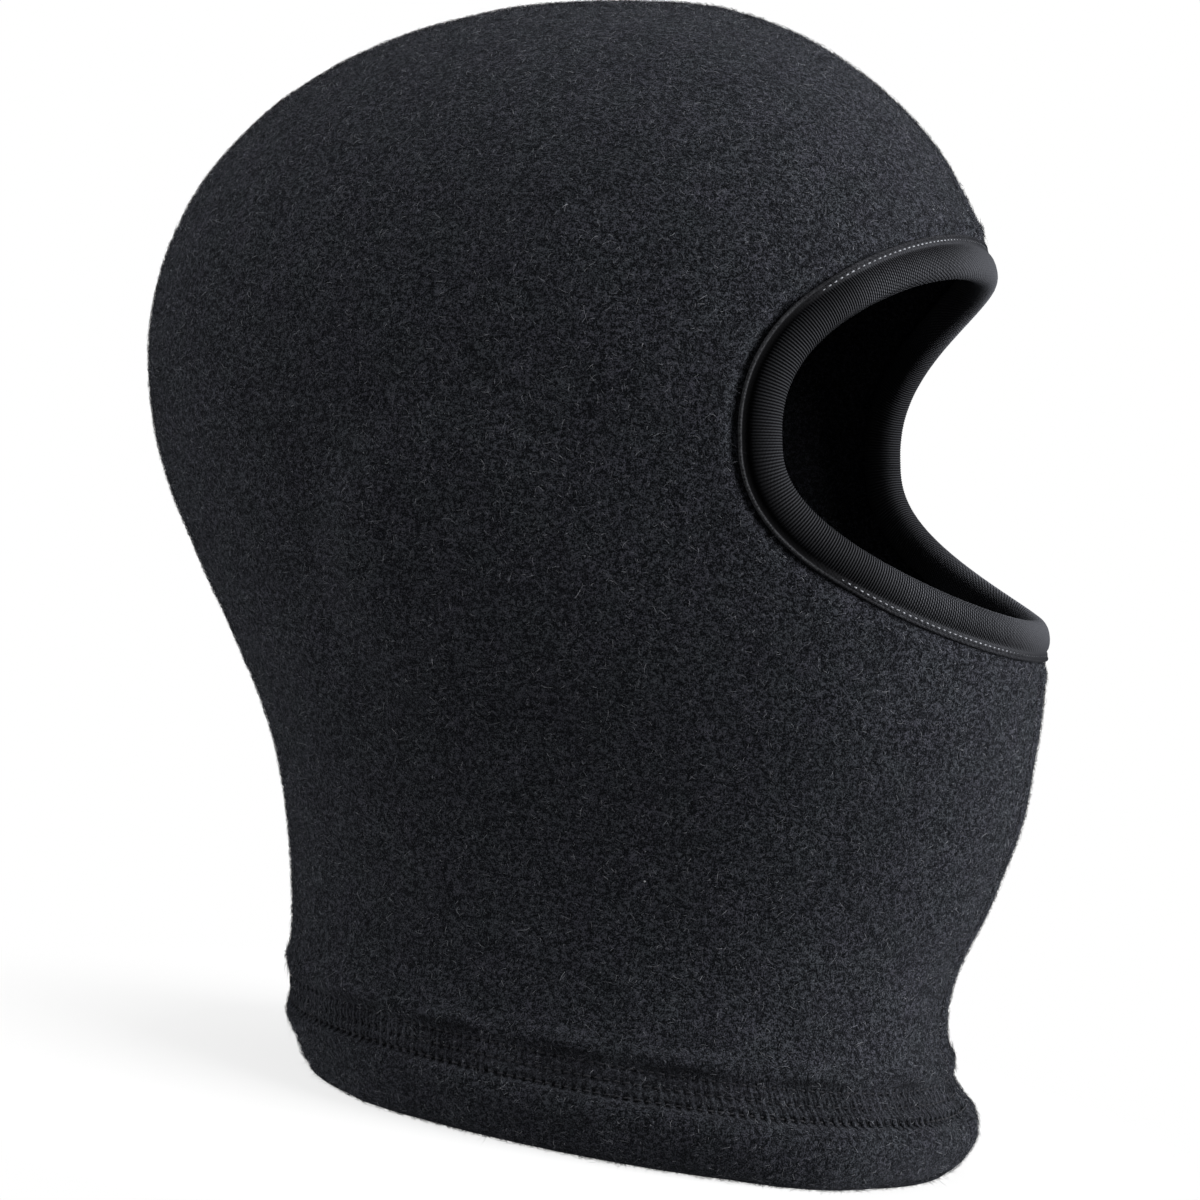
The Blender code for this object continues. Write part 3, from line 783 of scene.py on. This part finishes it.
def panel_columns():
    """Angles of the columns in the upper zone, closer together beside the two middle seams."""
    near_seam = np.array([0.0, 0.35, 0.75, 1.2, 1.8, 2.5, 3.3]) * MM / TYPICAL_REACH
    inner = np.linspace(near_seam[-1], math.pi - near_seam[-1], UPPER_COLUMNS)
    return np.concatenate([near_seam[:-1], inner, math.pi - near_seam[:-1][::-1]])


def band_edge(fold, margin=0.0):
    """The binding's outer edge, with a margin that is there only beside the open groove."""
    deep = groove_depth(fold)[:, None]
    edge, _, _ = beside_opening(fold, BAND_WIDTH - (1 - deep) * BEAD_NARROWING + deep * margin)
    return edge


def from_opening(points):
    """The direction and distance of each point from the opening's middle, as seen from the front."""
    across, up = points[:, 0], points[:, 2] - OPENING_MID_Z
    return np.arctan2(up, across), np.hypot(across, up)


def clear_of_band(points, edge):
    """Which points are outside the binding's outer edge, as seen from the front."""
    edge_turn, edge_reach = from_opening(edge)
    turn, reach = from_opening(points)
    order = np.argsort(edge_turn)
    limit = np.interp(turn, edge_turn[order], edge_reach[order], period=2 * math.pi)
    behind = points[:, 1] > edge[:, 1].max() + 4 * MM
    return behind | (reach > limit)


def beyond_band(points, edge):
    """How far outside the binding's outer edge each point is, and the number of the edge's closest point.

    The distance is below 0 under the binding.
    """
    tree = point_tree(edge)
    closest = [tree.find(point) for point in points]
    distance = np.array([found[2] for found in closest])
    number = np.array([found[1] for found in closest])
    return np.where(clear_of_band(points, edge), distance, -distance), number


def folded_rows():
    """Height and inset of each fine row: down the turned-up ply, round the fold and up the outer ply."""
    deep = 2 * FLEECE + HEM_PLY_GAP
    radius = deep / 2
    down = np.arange(HEM_TOP, radius, -INNER_STEP)
    turn = np.linspace(0.0, math.pi, FOLD_ROWS)
    up = np.arange(radius + FINE_STEP, FINE_TOP, FINE_STEP)
    heights = np.concatenate([down, radius - radius * np.sin(turn), up])
    insets = np.concatenate([np.full(len(down), deep), radius + radius * np.cos(turn), np.zeros(len(up))])
    return heights, insets


def upper_rows():
    """Heights of the rows above the fine zone, up to the crown."""
    body = np.arange(FINE_TOP + UPPER_STEP, TEMPLE_Z, UPPER_STEP)
    dome_arc = (CROWN_Z - TEMPLE_Z) * math.pi / 2
    lift = np.linspace(0.0, math.pi / 2, int(1.25 * dome_arc / UPPER_STEP))
    return np.concatenate([body, TEMPLE_Z + (CROWN_Z - TEMPLE_Z) * np.sin(lift)])


def sheet_rows(angles, heights, insets):
    """A grid of skin points: each row is a ring at its height, moved level inwards by its inset."""
    rows = []
    for height, inset in zip(heights, insets):
        ring = skin_point(angles, np.full(len(angles), height))
        along = np.gradient(ring, axis=0)
        outward = unit(np.stack([along[:, 1], -along[:, 0], np.zeros(len(ring))], axis=-1))
        outward[[0, -1]] = ((0.0, -1.0, 0.0), (0.0, 1.0, 0.0))
        rows.append(ring - outward * inset)
    return np.array(rows)


def grid_normals(grid):
    """The outward direction at each point of a grid of angles by heights."""
    normal = unit(np.cross(np.gradient(grid, axis=1), np.gradient(grid, axis=0)))
    normal[-1] = (0.0, 0.0, 1.0)
    return normal


def panel_faces(fine_ids, upper_ids):
    """Quads in both zones, five-sided faces where they meet, and triangles at the crown."""
    edge, first, below, crown = fine_ids[-1], upper_ids[0], upper_ids[-2], upper_ids[-1]
    joints = np.stack([edge[:-1:2], edge[1::2], edge[2::2], first[1:], first[:-1]], axis=-1)
    tips = np.stack([below[:-1], below[1:], np.full(len(below) - 1, crown[0])], axis=-1)
    zones = (grid_quads(fine_ids), joints, grid_quads(upper_ids[:-1]), tips)
    return [face for zone in zones for face in zone.tolist()]


def cut_opening(outer, inner, normals, faces, fold):
    """Leaves out the faces inside the face opening, and moves their ragged edge onto a smooth raw edge."""
    edge, _, _ = beside_opening(fold, RAW_EDGE)
    tree = point_tree(even_steps(edge, 4 * len(edge)))
    reach = np.where(outer[:, 2] > OPENING_MID_Z, OPENING_RISE, OPENING_DROP)
    across = np.abs(outer[:, 0] / OPENING_HALF_WIDTH) ** OPENING_POWER
    level = across + np.abs((outer[:, 2] - OPENING_MID_Z) / reach) ** OPENING_POWER
    in_front = outer[:, 1] < HEM_MIDDLE_Y
    near = np.flatnonzero(in_front & (level < 2.0))
    inside = in_front & (level < 1.0)
    closest = {}
    for number in near:
        place, _, distance = tree.find(outer[number])
        closest[number] = np.array(place)
        inside[number] |= distance < RAW_EDGE * 0.9 and level[number] < 1.0 + distance
    kept, dropped = [], []
    for face in faces:
        (dropped if any(inside[corner] for corner in face) else kept).append(face)
    rim = {corner for face in dropped for corner in face} & {corner for face in kept for corner in face}
    for number in rim:
        outer[number] = closest[number]
        inner[number] = closest[number] - normals[number] * FLEECE
    return kept


def compact(outer, inner, faces):
    """The same sheets without the points that no face uses."""
    used = np.unique(np.concatenate([np.array(face) for face in faces]))
    number = np.full(len(outer), -1)
    number[used] = np.arange(len(used))
    return outer[used], inner[used], [[int(number[corner]) for corner in face] for face in faces], used


def middle_outline(inset, backwards):
    """The skin's outline on the middle plane, this far below it, as y and z from the hem to the crown."""
    dome = TEMPLE_Z + (CROWN_Z - TEMPLE_Z) * np.sin(np.linspace(0.0, math.pi / 2, 60)[1:])
    heights = np.concatenate([np.linspace(0.0, TEMPLE_Z, 90), dome])
    front, back, _, _ = ring_reach(heights)
    y = back if backwards else front
    step_y, step_z = np.gradient(y), np.gradient(heights)
    turn = -1.0 if backwards else 1.0
    inward = np.stack([turn * step_z, -turn * step_y], axis=-1) / np.hypot(step_y, step_z)[:, None]
    return np.stack([y, heights], axis=-1) + inset * inward


def seam_spans(*insets):
    """The middle plane's outline at each inset, along the crown's seam and then along the throat's."""
    brow_z = OPENING_MID_Z + OPENING_RISE + BAND_WIDTH + ALLOWANCE_GAP
    throat_z = OPENING_MID_Z - OPENING_DROP - BAND_WIDTH - ALLOWANCE_GAP
    napes = [middle_outline(inset, True) for inset in insets]
    fronts = [middle_outline(inset, False) for inset in insets]
    low = napes[0][:, 1] > ALLOWANCE_LOW_Z
    brow = fronts[0][:, 1] > brow_z
    throat = (fronts[0][:, 1] > ALLOWANCE_LOW_Z) & (fronts[0][:, 1] < throat_z)
    crown_lines = [np.vstack([nape[low], front[brow][::-1][1:]]) for nape, front in zip(napes, fronts)]
    return crown_lines, [front[throat] for front in fronts]


def allowance_parts(side):
    """The turned-in edges of one panel, as closed strips with rounded corners: points and faces."""
    section = [(0.0, 0.0), (2.2, 0.0), (2.9, 0.12), (3.0, 0.8)]  # mm from the middle, share of the depth
    section += [(2.7, 0.97), (1.6, 1.0), (0.3, 0.97), (0.0, 0.85)]
    parts = []
    for shallow, deep in seam_spans(0.6 * FLEECE, ALLOWANCE_DEPTH):
        rows = []
        for (y0, z0), (y1, z1) in zip(shallow, deep):
            rows.append([(side * x * MM, y0 + (y1 - y0) * t, z0 + (z1 - z0) * t) for x, t in section])
        grid = np.array(rows)
        wave = 0.10 * MM * smooth_noise(grid, 6 * MM, SEED + 5)
        grid[..., 0] += side * wave
        ids = numbered(grid)
        faces = section_quads(ids).tolist() + [ids[0].tolist(), ids[-1][::-1].tolist()]
        if side < 0:
            faces = [face[::-1] for face in faces]
        parts.append((grid.reshape(-1, 3), faces))
    return parts


def joined(fine, upper):
    """The points of the fine zone and then those of the upper one, as one list."""
    return np.concatenate([fine.reshape(-1, fine.shape[-1]), upper.reshape(-1, upper.shape[-1])])


def panel_grid():
    """The smooth skin of one panel: rows of points, with columns twice as close in the fine zone.

    Returns the points, their normals, how far round the hem each is, which are on the outer ply, and the
    faces.
    """
    columns = panel_columns()
    fine_columns = np.interp(np.arange(2 * len(columns) - 1) / 2, np.arange(len(columns)), columns)
    heights, insets = folded_rows()
    tops = upper_rows()
    fine = sheet_rows(fine_columns, heights, insets)
    upper = sheet_rows(columns, tops, np.zeros(len(tops)))
    fine_normals = grid_normals(np.concatenate([fine, sheet_rows(fine_columns, tops[:1], [0.0])]))[:-1]
    upper_normals = grid_normals(np.concatenate([fine[-1:, ::2], upper]))[1:]
    ring = length_along(skin_point(fine_columns, np.full(len(fine_columns), HEM_TOP)))
    around = np.concatenate([np.tile(ring, len(fine)), np.tile(ring[::2], len(upper))])
    fine_outer = np.repeat(insets < FLEECE, len(fine_columns))
    outer_ply = np.concatenate([fine_outer, np.ones(upper[..., 0].size, bool)])
    fine_ids = numbered(fine)
    faces = panel_faces(fine_ids, fine_ids.size + numbered(upper))
    return joined(fine, upper), joined(fine_normals, upper_normals), around, outer_ply, faces


def panel_sheets(fold, row_heights):
    """The left panel's outer and inner sheet, with all relief and the opening cut out.

    Returns both sheets' points, the normals, the faces and how far round the hem each point is.
    """
    skin, normals, around, outer_ply, faces = panel_grid()
    beyond, closest = beyond_band(skin, band_edge(fold))
    relief = cloth_relief(skin, around, row_heights) * outer_ply * fade(beyond, -1.0 * MM, 3.0 * MM)
    relief += binding_relief(beyond, groove_depth(fold)[closest])
    outer = skin + normals * relief[:, None]
    outer[:, 2] = np.maximum(outer[:, 2], 0.0)
    inner = skin - normals * FLEECE
    faces = cut_opening(outer, inner, normals, faces, fold)
    outer, inner, faces, used = compact(outer, inner, faces)
    return outer, inner, normals[used], faces, around[used]


def fleece_panel(node, side, material, sheets):
    """One half of the hood with its seam allowances. The right one, with side -1, is mirrored."""
    outer, inner, _, faces, around = sheets
    points, solid = closed_shell(outer, inner, faces)
    points[:, 0] = (points[:, 0] - PANEL_OVERLAP / 2) * side
    if side < 0:
        solid = [face[::-1] for face in solid]
    for part_points, part_faces in allowance_parts(side):
        solid += [[corner + len(points) for corner in face] for face in part_faces]
        points = np.vstack([points, part_points])
    piece = add_mesh(f"{node}_cloth", points, [list(face) for face in solid], material)
    hem_place = np.zeros((len(points), 2))
    hem_place[: 2 * len(around), 0] = np.tile(around, 2)
    hem_place[:, 1] = points[:, 2]
    write_uv(piece, "hem", hem_place)
    hood_piece(piece, node)


# ------------------------ nap


def nap_roots(sheets, side, count, rng, fold, row_heights):
    """Random points on the outer faces and their normals, fewer on the stitch rows, none on the binding."""
    outer, _, normals, faces, _ = sheets
    corners = np.array([(face[0], *pair) for face in faces for pair in zip(face[1:], face[2:])])
    a, b, c = (outer[corners[:, i]] for i in range(3))
    area = np.linalg.norm(np.cross(b - a, c - a), axis=1)
    chosen = rng.choice(len(corners), count, p=area / area.sum())
    u, v = rng.random(count), rng.random(count)
    flip = u + v > 1
    u[flip], v[flip] = 1 - u[flip], 1 - v[flip]
    weights = np.stack([1 - u - v, u, v], axis=-1)
    roots = np.einsum("ik,ikj->ij", weights, outer[corners[chosen]])
    ways = unit(np.einsum("ik,ikj->ij", weights, normals[corners[chosen]]))
    keep = clear_of_band(roots, band_edge(fold, NAP_MARGIN))
    for row in row_heights:
        off_row = np.abs(roots[:, 2] - row + STITCH_SAG) > ROW_HALF_WIDTH
        keep &= off_row | (rng.random(count) < ROW_SHARE)
    roots, ways = roots[keep], ways[keep]
    roots[:, 0] = (roots[:, 0] - PANEL_OVERLAP / 2) * side
    ways[:, 0] *= side
    return roots, ways


def fuzz(material, sheets, fold, row_heights):
    """The loose fibres that stand off the fleece, bent over in small clumps. They aren't a piece."""
    rng = np.random.default_rng(SEED)
    grown = [nap_roots(sheets, side, FIBRES // 2, rng, fold, row_heights) for side in PANEL_SIDES.values()]
    roots, ways = (np.vstack(both) for both in zip(*grown))
    count = len(roots)
    lean = np.stack([smooth_noise(roots, 1.5 * MM, SEED + 10 + axis) for axis in range(3)], axis=-1)
    lean += 0.75 * rng.normal(size=(count, 3))
    lean = lean - ways * (lean * ways).sum(axis=-1, keepdims=True)
    length = (0.55 + 0.75 * rng.random(count) ** 2)[:, None] * MM
    curl = np.cross(ways, lean) * rng.normal(0.0, 0.5, (count, 1))
    lift = (0.35 + 0.35 * rng.random(count))[:, None]
    line = [roots + length * (up * lift * ways + out * lean + turn * curl) for up, out, turn in FIBRE_SHAPE]
    line[0] -= ways * FIBRE_ROOT
    points = np.stack(line, axis=1)
    hair = bpy.data.hair_curves.new("fleece_nap")
    hair.add_curves([points.shape[1]] * count)
    hair.attributes["position"].data.foreach_set("vector", points.astype(np.float32).ravel())
    radius = hair.attributes.get("radius") or hair.attributes.new("radius", "FLOAT", "POINT")
    thick = rng.uniform(*FIBRE_RADII, (count, 1)) * MM
    radius.data.foreach_set("value", (thick * FIBRE_TAPER).astype(np.float32).ravel())
    hair.materials.append(material)
    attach(link_object("fleece_nap", hair), "hood")


# ------------------------ binding


def band_outline():
    """The band's section, one row for each corner.

    A row holds the distance from the fold, the height above the skin, and how much the corner belongs to
    the ribs, to the floor of the groove and to the bead. The rows start under the bead at the outer edge,
    run over the outer ply, round the fold and back along the inner ply, and end on the hidden faces that
    hold the fleece.
    """
    edge = BAND_WIDTH / MM
    inner = BAND_INNER_WIDTH / MM
    bead = [(-0.15, -0.30), (0.05, 0.55), (-0.05, 1.15), (-0.42, 1.40), (-0.78, 1.05)]
    bead = [(edge + out, height) for out, height in bead]
    outer_ply = ((edge - 2.85, 1.00), (edge - 4.70, 1.60), (3.0, 1.55), (1.3, 0.90))
    round_fold = ((0.3, -0.20), (0.0, -1.60), (0.5, -3.30), (2.0, -4.60))
    hidden = ((inner, -4.50), (inner - 0.2, -3.90), (2.6, -3.60), (1.7, -1.60), (2.8, -0.40))
    groups = (
        (bead, (0.0, 0.0, 1.0)),
        (((edge - 0.92, 0.0),), (0.0, 1.0, 0.0)),
        (((edge - 2.35, 0.0),), (0.1, 1.0, 0.0)),
        (outer_ply + round_fold, (1.0, 0.0, 0.0)),
        (((inner - 1.2, -4.95),), (0.6, 0.0, 0.0)),
        (hidden, (0.0, 0.0, 0.0)),
    )
    outline = np.array([(*corner, *zone) for corners, zone in groups for corner in corners])
    after = np.roll(outline, -1, axis=0)
    rounded = np.empty((2 * len(outline), outline.shape[1]))
    rounded[0::2] = 0.75 * outline + 0.25 * after
    rounded[1::2] = 0.25 * outline + 0.75 * after
    rounded[:, :2] *= MM
    return rounded


def groove_depth(fold):
    """How open the groove beside the bead is: 1 at the sides of the face, 0 along the other runs."""
    return fade(np.abs(fold[:, 0]) / OPENING_HALF_WIDTH, 0.82, 0.95)


def at_places(values, places):
    """Values between the points of a ring, at places counted in points."""
    low = places.astype(int)
    share = (places - low)[:, None]
    return values[low] * (1 - share) + values[(low + 1) % len(values)] * share


def rib_heights(stations):
    """The height of the ribs at each station along the band, some stronger than others."""
    turn = np.arange(stations) * (2 * math.pi / STATIONS_PER_RIB)
    numbers = np.arange(stations)[:, None] * np.ones(3)
    strength = 0.8 + 0.2 * smooth_noise(numbers, 2.0 * STATIONS_PER_RIB, SEED)
    return RIB_HEIGHT * (np.cos(turn) - 0.2) * strength


def band_grid(fold, section, places, deep):
    """The band's points: a row at each place along the fold, with the corners of the section in it."""
    before, after = np.roll(section, 1, axis=0), np.roll(section, -1, axis=0)
    tangent = unit(after[:, :2] - before[:, :2])
    outward = np.stack([tangent[:, 1], -tangent[:, 0]], axis=-1)
    rib = rib_heights(len(places))
    sunk = groove_depth(fold)[:, None]
    rails = []
    for (distance, height, ribbed, floor, bead), (out_d, out_h) in zip(section, outward):
        narrow = distance - bead * (1 - sunk) * BEAD_NARROWING
        place, away, normal = (at_places(values, places) for values in beside_opening(fold, narrow))
        lift = rib * ribbed
        level = height + floor * (1 - deep) * (TOPSTITCH_FLOOR - height) - bead * (1 - deep) * 0.30 * height
        rails.append(place + away * (lift * out_d)[:, None] + normal * (level + lift * out_h)[:, None])
    return np.array(rails).transpose(1, 0, 2)


def face_binding(material, fold):
    """The elastic band over the fleece's raw edge, with its ribs, its bead and the groove beside it."""
    section = band_outline()
    places = np.arange(len(fold) * STATIONS_PER_RIB) / STATIONS_PER_RIB
    deep = at_places(groove_depth(fold)[:, None], places)[:, 0]
    grid = band_grid(fold, section, places, deep)
    faces = section_quads(numbered(grid), ring=True)[:, ::-1]
    piece = add_mesh("face_binding_knit", grid.reshape(-1, 3), faces.tolist(), material)
    round_section = length_along(section[:, :2])
    spots = np.stack(np.meshgrid(places * RIB_PITCH, round_section, indexing="ij"), axis=-1)
    write_uv(piece, "band", spots.reshape(-1, 2))
    groove_or_bead = deep[:, None] * (section[:, 3] - section[:, 4])
    zones = np.stack([groove_or_bead, np.tile(section[:, 2], (len(places), 1))], axis=-1)
    write_uv(piece, "zone", zones.reshape(-1, 2))
    hood_piece(piece, "face_binding")


# ------------------------ stitches


def running_stitches(rail, normal, pitch, dash, surface, rise, dip):
    """A thread that shows for a dash at each stitch and dives into the cloth between them.

    The dash, the height of the surface, the rise above it and the dip below it are in mm.
    """
    count = int(round(line_length(rail) / pitch))
    uneven = 1.0 + 0.25 * np.random.default_rng(SEED).uniform(-1.0, 1.0, (count, 1))
    shares = (0.5 + np.array([-0.5, -0.34, 0.0, 0.34, 0.5]) * uneven) * dash * MM / pitch
    heights = np.array([-dip, 0.75 * rise, rise, 0.75 * rise, -dip])
    places = ((np.arange(count)[:, None] + shares) / count * len(rail)).ravel() % len(rail)
    lifts = np.tile(surface + heights, count)[:, None] * MM
    return at_places(rail, places) + unit(at_places(normal, places)) * lifts


def binding_topstitch(material, fold):
    """The pale topstitch beside the bead. At the sides it is out of sight under the floor of the groove."""
    rail, _, normal = beside_opening(fold, BAND_WIDTH - TOPSTITCH_FROM_EDGE)
    central = fade(np.abs(fold[:, 0]) / OPENING_HALF_WIDTH, 0.60, 0.25)
    height = TOPSTITCH_FLOOR - 1.5 * MM * groove_depth(fold) - 0.15 * MM * central
    rail = rail + normal * height[:, None]
    points = running_stitches(rail, normal, TOPSTITCH_PITCH, dash=0.74, surface=0.0, rise=0.02, dip=0.60)
    piece = tube("binding_topstitch", points, TOPSTITCH_RADIUS, material, True)
    hood_piece(piece, "binding_stitch")


def binding_join(material, fold):
    """The dark zigzag across the inner ply where the band's two ends meet."""
    lowest = int(np.argmin(fold[:, 2]))
    points = []
    for step, share in enumerate(np.linspace(0.30, 0.90, JOIN_STITCHES)):
        place, _, normal = beside_opening(fold, BAND_INNER_WIDTH * share)
        swing = np.array([(-1) ** step * JOIN_SWING, 0.0, 0.0])
        points.append(place[lowest] + swing - normal[lowest] * JOIN_DEPTH)
    piece = tube("binding_join_thread", np.array(points), JOIN_RADIUS, material, False)
    hood_piece(piece, "binding_join_stitch")


def hem_line(height, count=720):
    """Points of the skin round the hem at this height, and the way out."""
    turn = np.arange(count) * (2 * math.pi / count)
    ring = even_steps(skin_point(turn, np.full(count, height)), count)
    return on_skin(ring)


def hem_rows(material, row_heights):
    """The three needle threads of the coverstitch."""
    for row, height in zip(ROW_NAMES, row_heights):
        rail, normal = hem_line(height)
        points = running_stitches(rail, normal, STITCH_PITCH, dash=1.4, surface=-0.75, rise=0.20, dip=0.45)
        piece = tube(f"hem_{row}_thread", points, HEM_THREAD_RADIUS, material, True)
        hood_piece(piece, f"hem_stitch_{row}")


def hem_looper(material, row_heights):
    """The looper thread inside the hem, which loops from the lower row to the upper one and back."""
    upper, _, lower = (hem_line(height) for height in row_heights)
    inset = 2 * FLEECE + HEM_PLY_GAP + 0.45 * MM
    low, high = (rail - normal * inset for rail, normal in (lower, upper))
    count = int(round(line_length(lower[0]) / STITCH_PITCH))
    shares = np.array([0.0, 0.22, 0.42, 0.60, 0.78, 0.95])
    climb = np.tile([0.0, 0.5, 1.0, 1.0, 0.5, 0.0], count)[:, None]
    places = ((np.arange(count)[:, None] + shares) / count * len(low)).astype(int).ravel() % len(low)
    points = low[places] * (1 - climb) + high[places] * climb
    piece = tube("hem_looper_loops", points, LOOPER_RADIUS, material, True)
    hood_piece(piece, "hem_looper_thread")


def overlock(name, node, line, material):
    """Overlock stitches that wrap the inner edge of the two seam allowances."""
    length = length_along(line)
    half_turn = ((-3.3, -2.6), (-3.5, 0.2), (0.0, 0.45), (3.5, 0.2))  # sideways and outwards, in mm
    swings = half_turn + tuple((-x, out) for x, out in half_turn)
    points = []
    for number in range(int(length[-1] / OVERLOCK_PITCH) * len(swings)):
        x, out = swings[number % len(swings)]
        place = number / len(swings) * OVERLOCK_PITCH
        here, ahead = (
            np.array([np.interp(spot, length, line[:, axis]) for axis in range(2)])
            for spot in (place, place + 0.5 * MM)
        )
        along = unit(ahead - here)
        points.append((x * MM, here[0] - along[1] * out * MM, here[1] + along[0] * out * MM))
    piece = tube(name, np.array(points), OVERLOCK_RADIUS, material, False)
    hood_piece(piece, node)


# ------------------------ label


def ribbon_side(stem, half_gap):
    """One face of the folded ribbon: out along one ply, round the fold and back along the other."""
    bend = np.linspace(0.0, math.pi, 9)[1:-1]
    fold = [(-half_gap * math.cos(turn), stem[-1] + half_gap * math.sin(turn)) for turn in bend]
    return [(-half_gap, out) for out in stem] + fold + [(half_gap, out) for out in stem[::-1]]


def care_label(material):
    """A blank folded ribbon with soft edges, hung from the nape seam. It rides on its own body."""
    low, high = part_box("care_label")
    hinge = next(joint for joint in frame["joints"] if joint["name"] == "label_flap")
    foot, up = Vector(hinge["pos_m"]), Vector(hinge["axis"]).normalized()
    right = Vector((1.0, 0.0, 0.0))
    forward = right.cross(up)
    height = (high.z - low.z) * LABEL_SHARE
    stem = np.linspace(0.0, LABEL_REACH - LABEL_HALF_GAP - LABEL_PLY, 15)
    out_side = ribbon_side(stem, LABEL_HALF_GAP + LABEL_PLY)
    outline = np.array(out_side + ribbon_side(stem, LABEL_HALF_GAP)[::-1])
    reach = outline[:, 1] / LABEL_REACH
    rows = []
    for share in np.linspace(0.0, 1.0, 19):
        wavy = outline[:, 0] + LABEL_WAVE * np.sin(4.5 * reach + 1.2 * share) * reach
        base = foot + up * (share * height)
        rows.append([base + right * float(x) + forward * float(out) for x, out in zip(wavy, outline[:, 1])])
    grid = np.array(rows)
    ids = numbered(grid)
    faces = section_quads(ids).tolist()
    last, sides = ids.shape[1] - 1, len(out_side)
    for a, b in zip(range(sides - 1), range(last, sides, -1)):
        caps = [[end[a], end[a + 1], end[b - 1], end[b]] for end in ids[[0, -1]].tolist()]
        faces += [caps[0], caps[1][::-1]]
    piece = add_mesh("care_label_ribbon", grid.reshape(-1, 3), faces, material)
    piece.data.set_sharp_from_angle(angle=math.radians(50))
    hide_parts("care_label")
    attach(piece, "label")


# ------------------------ stage


def area_light(name, place, target, size, power):
    """A soft square light that looks at a point."""
    light = bpy.data.lights.new(name, "AREA")
    light.size = size
    light.energy = power
    made = link_object(name, light)
    made.location = place
    made.rotation_euler = (target - place).to_track_quat("-Z", "Y").to_euler()
    made.visible_camera = False


def studio():
    """A pale floor that fades into a pale backdrop, a key light in front and two weak ones behind."""
    world = bpy.data.worlds.new("backdrop")
    bpy.context.scene.world = world
    world.use_nodes = True
    tree = world.node_tree
    backdrop = tree.nodes["Background"]
    backdrop.inputs["Color"].default_value = (1.0, 1.0, 1.0, 1.0)
    rays = tree.nodes.new("ShaderNodeLightPath")
    strength = tree.nodes.new("ShaderNodeMapRange")
    strength.inputs["To Min"].default_value = AMBIENT
    strength.inputs["To Max"].default_value = 1.0
    tree.links.new(rays.outputs["Is Camera Ray"], strength.inputs["Value"])
    tree.links.new(strength.outputs["Result"], backdrop.inputs["Strength"])
    corners = np.array([(-1, -1, 0), (1, -1, 0), (1, 1, 0), (-1, 1, 0)]) * FLOOR_REACH
    floor = add_mesh("floor", corners, [(0, 1, 2, 3)], floor_material())
    floor.visible_diffuse = False
    middle = (CAD_LOW + CAD_HIGH) / 2
    for name, place, size, power in LIGHTS:
        area_light(name, middle + Vector(place), middle, size, power)


def photo_camera():
    """Nearly square to the right side, seen a little from the front, with the head leaning back."""
    sideways = math.sin(CAMERA_TURN)
    lean_c, lean_s = math.cos(CAMERA_LEAN), math.sin(CAMERA_LEAN)
    back = Vector((-math.cos(CAMERA_TURN), -sideways * lean_c, sideways * lean_s))
    right = Vector((0.0, lean_s, lean_c)).cross(back).normalized()
    camera = bpy.data.cameras.new("photo")
    camera.sensor_width = SENSOR_WIDTH
    camera.lens = SENSOR_WIDTH / 2 * CAMERA_DISTANCE / HALF_FRAME
    made = link_object("photo", camera)
    axes = Matrix((right, back.cross(right), back)).transposed()
    made.matrix_world = Matrix.Translation(CAMERA_TARGET + back * CAMERA_DISTANCE) @ axes.to_4x4()
    bpy.context.scene.camera = made


# ------------------------ the object


def build():
    """Every piece, then the stage."""
    rough = opening_line(64)
    fold = opening_line(int(round(line_length(rough) / RIB_PITCH)))
    row_heights = []
    for row in ROW_NAMES:
        low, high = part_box(f"hem_stitch_{row}")
        row_heights.append((low.z + high.z) / 2)
    sheets = panel_sheets(fold, row_heights)
    fleece = fleece_material(row_heights)
    for node, side in PANEL_SIDES.items():
        fleece_panel(node, side, fleece, sheets)
    fuzz(fibre_material(), sheets, fold, row_heights)
    face_binding(band_material(), fold)
    dark = thread_material("dark_thread", *SEAM_THREAD_TONES)
    binding_topstitch(thread_material("topstitch", *TOPSTITCH_TONES), fold)
    binding_join(dark, fold)
    hem_rows(dark, row_heights)
    hem_looper(dark, row_heights)
    crown_lines, throat_lines = seam_spans(0.0, ALLOWANCE_DEPTH)
    overlock("crown_overlock", "crown_seam_thread", crown_lines[1], dark)
    overlock("throat_overlock", "throat_seam_thread", throat_lines[1], dark)
    care_label(ribbon_material())
    studio()
    photo_camera()
    bpy.context.scene.view_settings.view_transform = "Standard"


build()
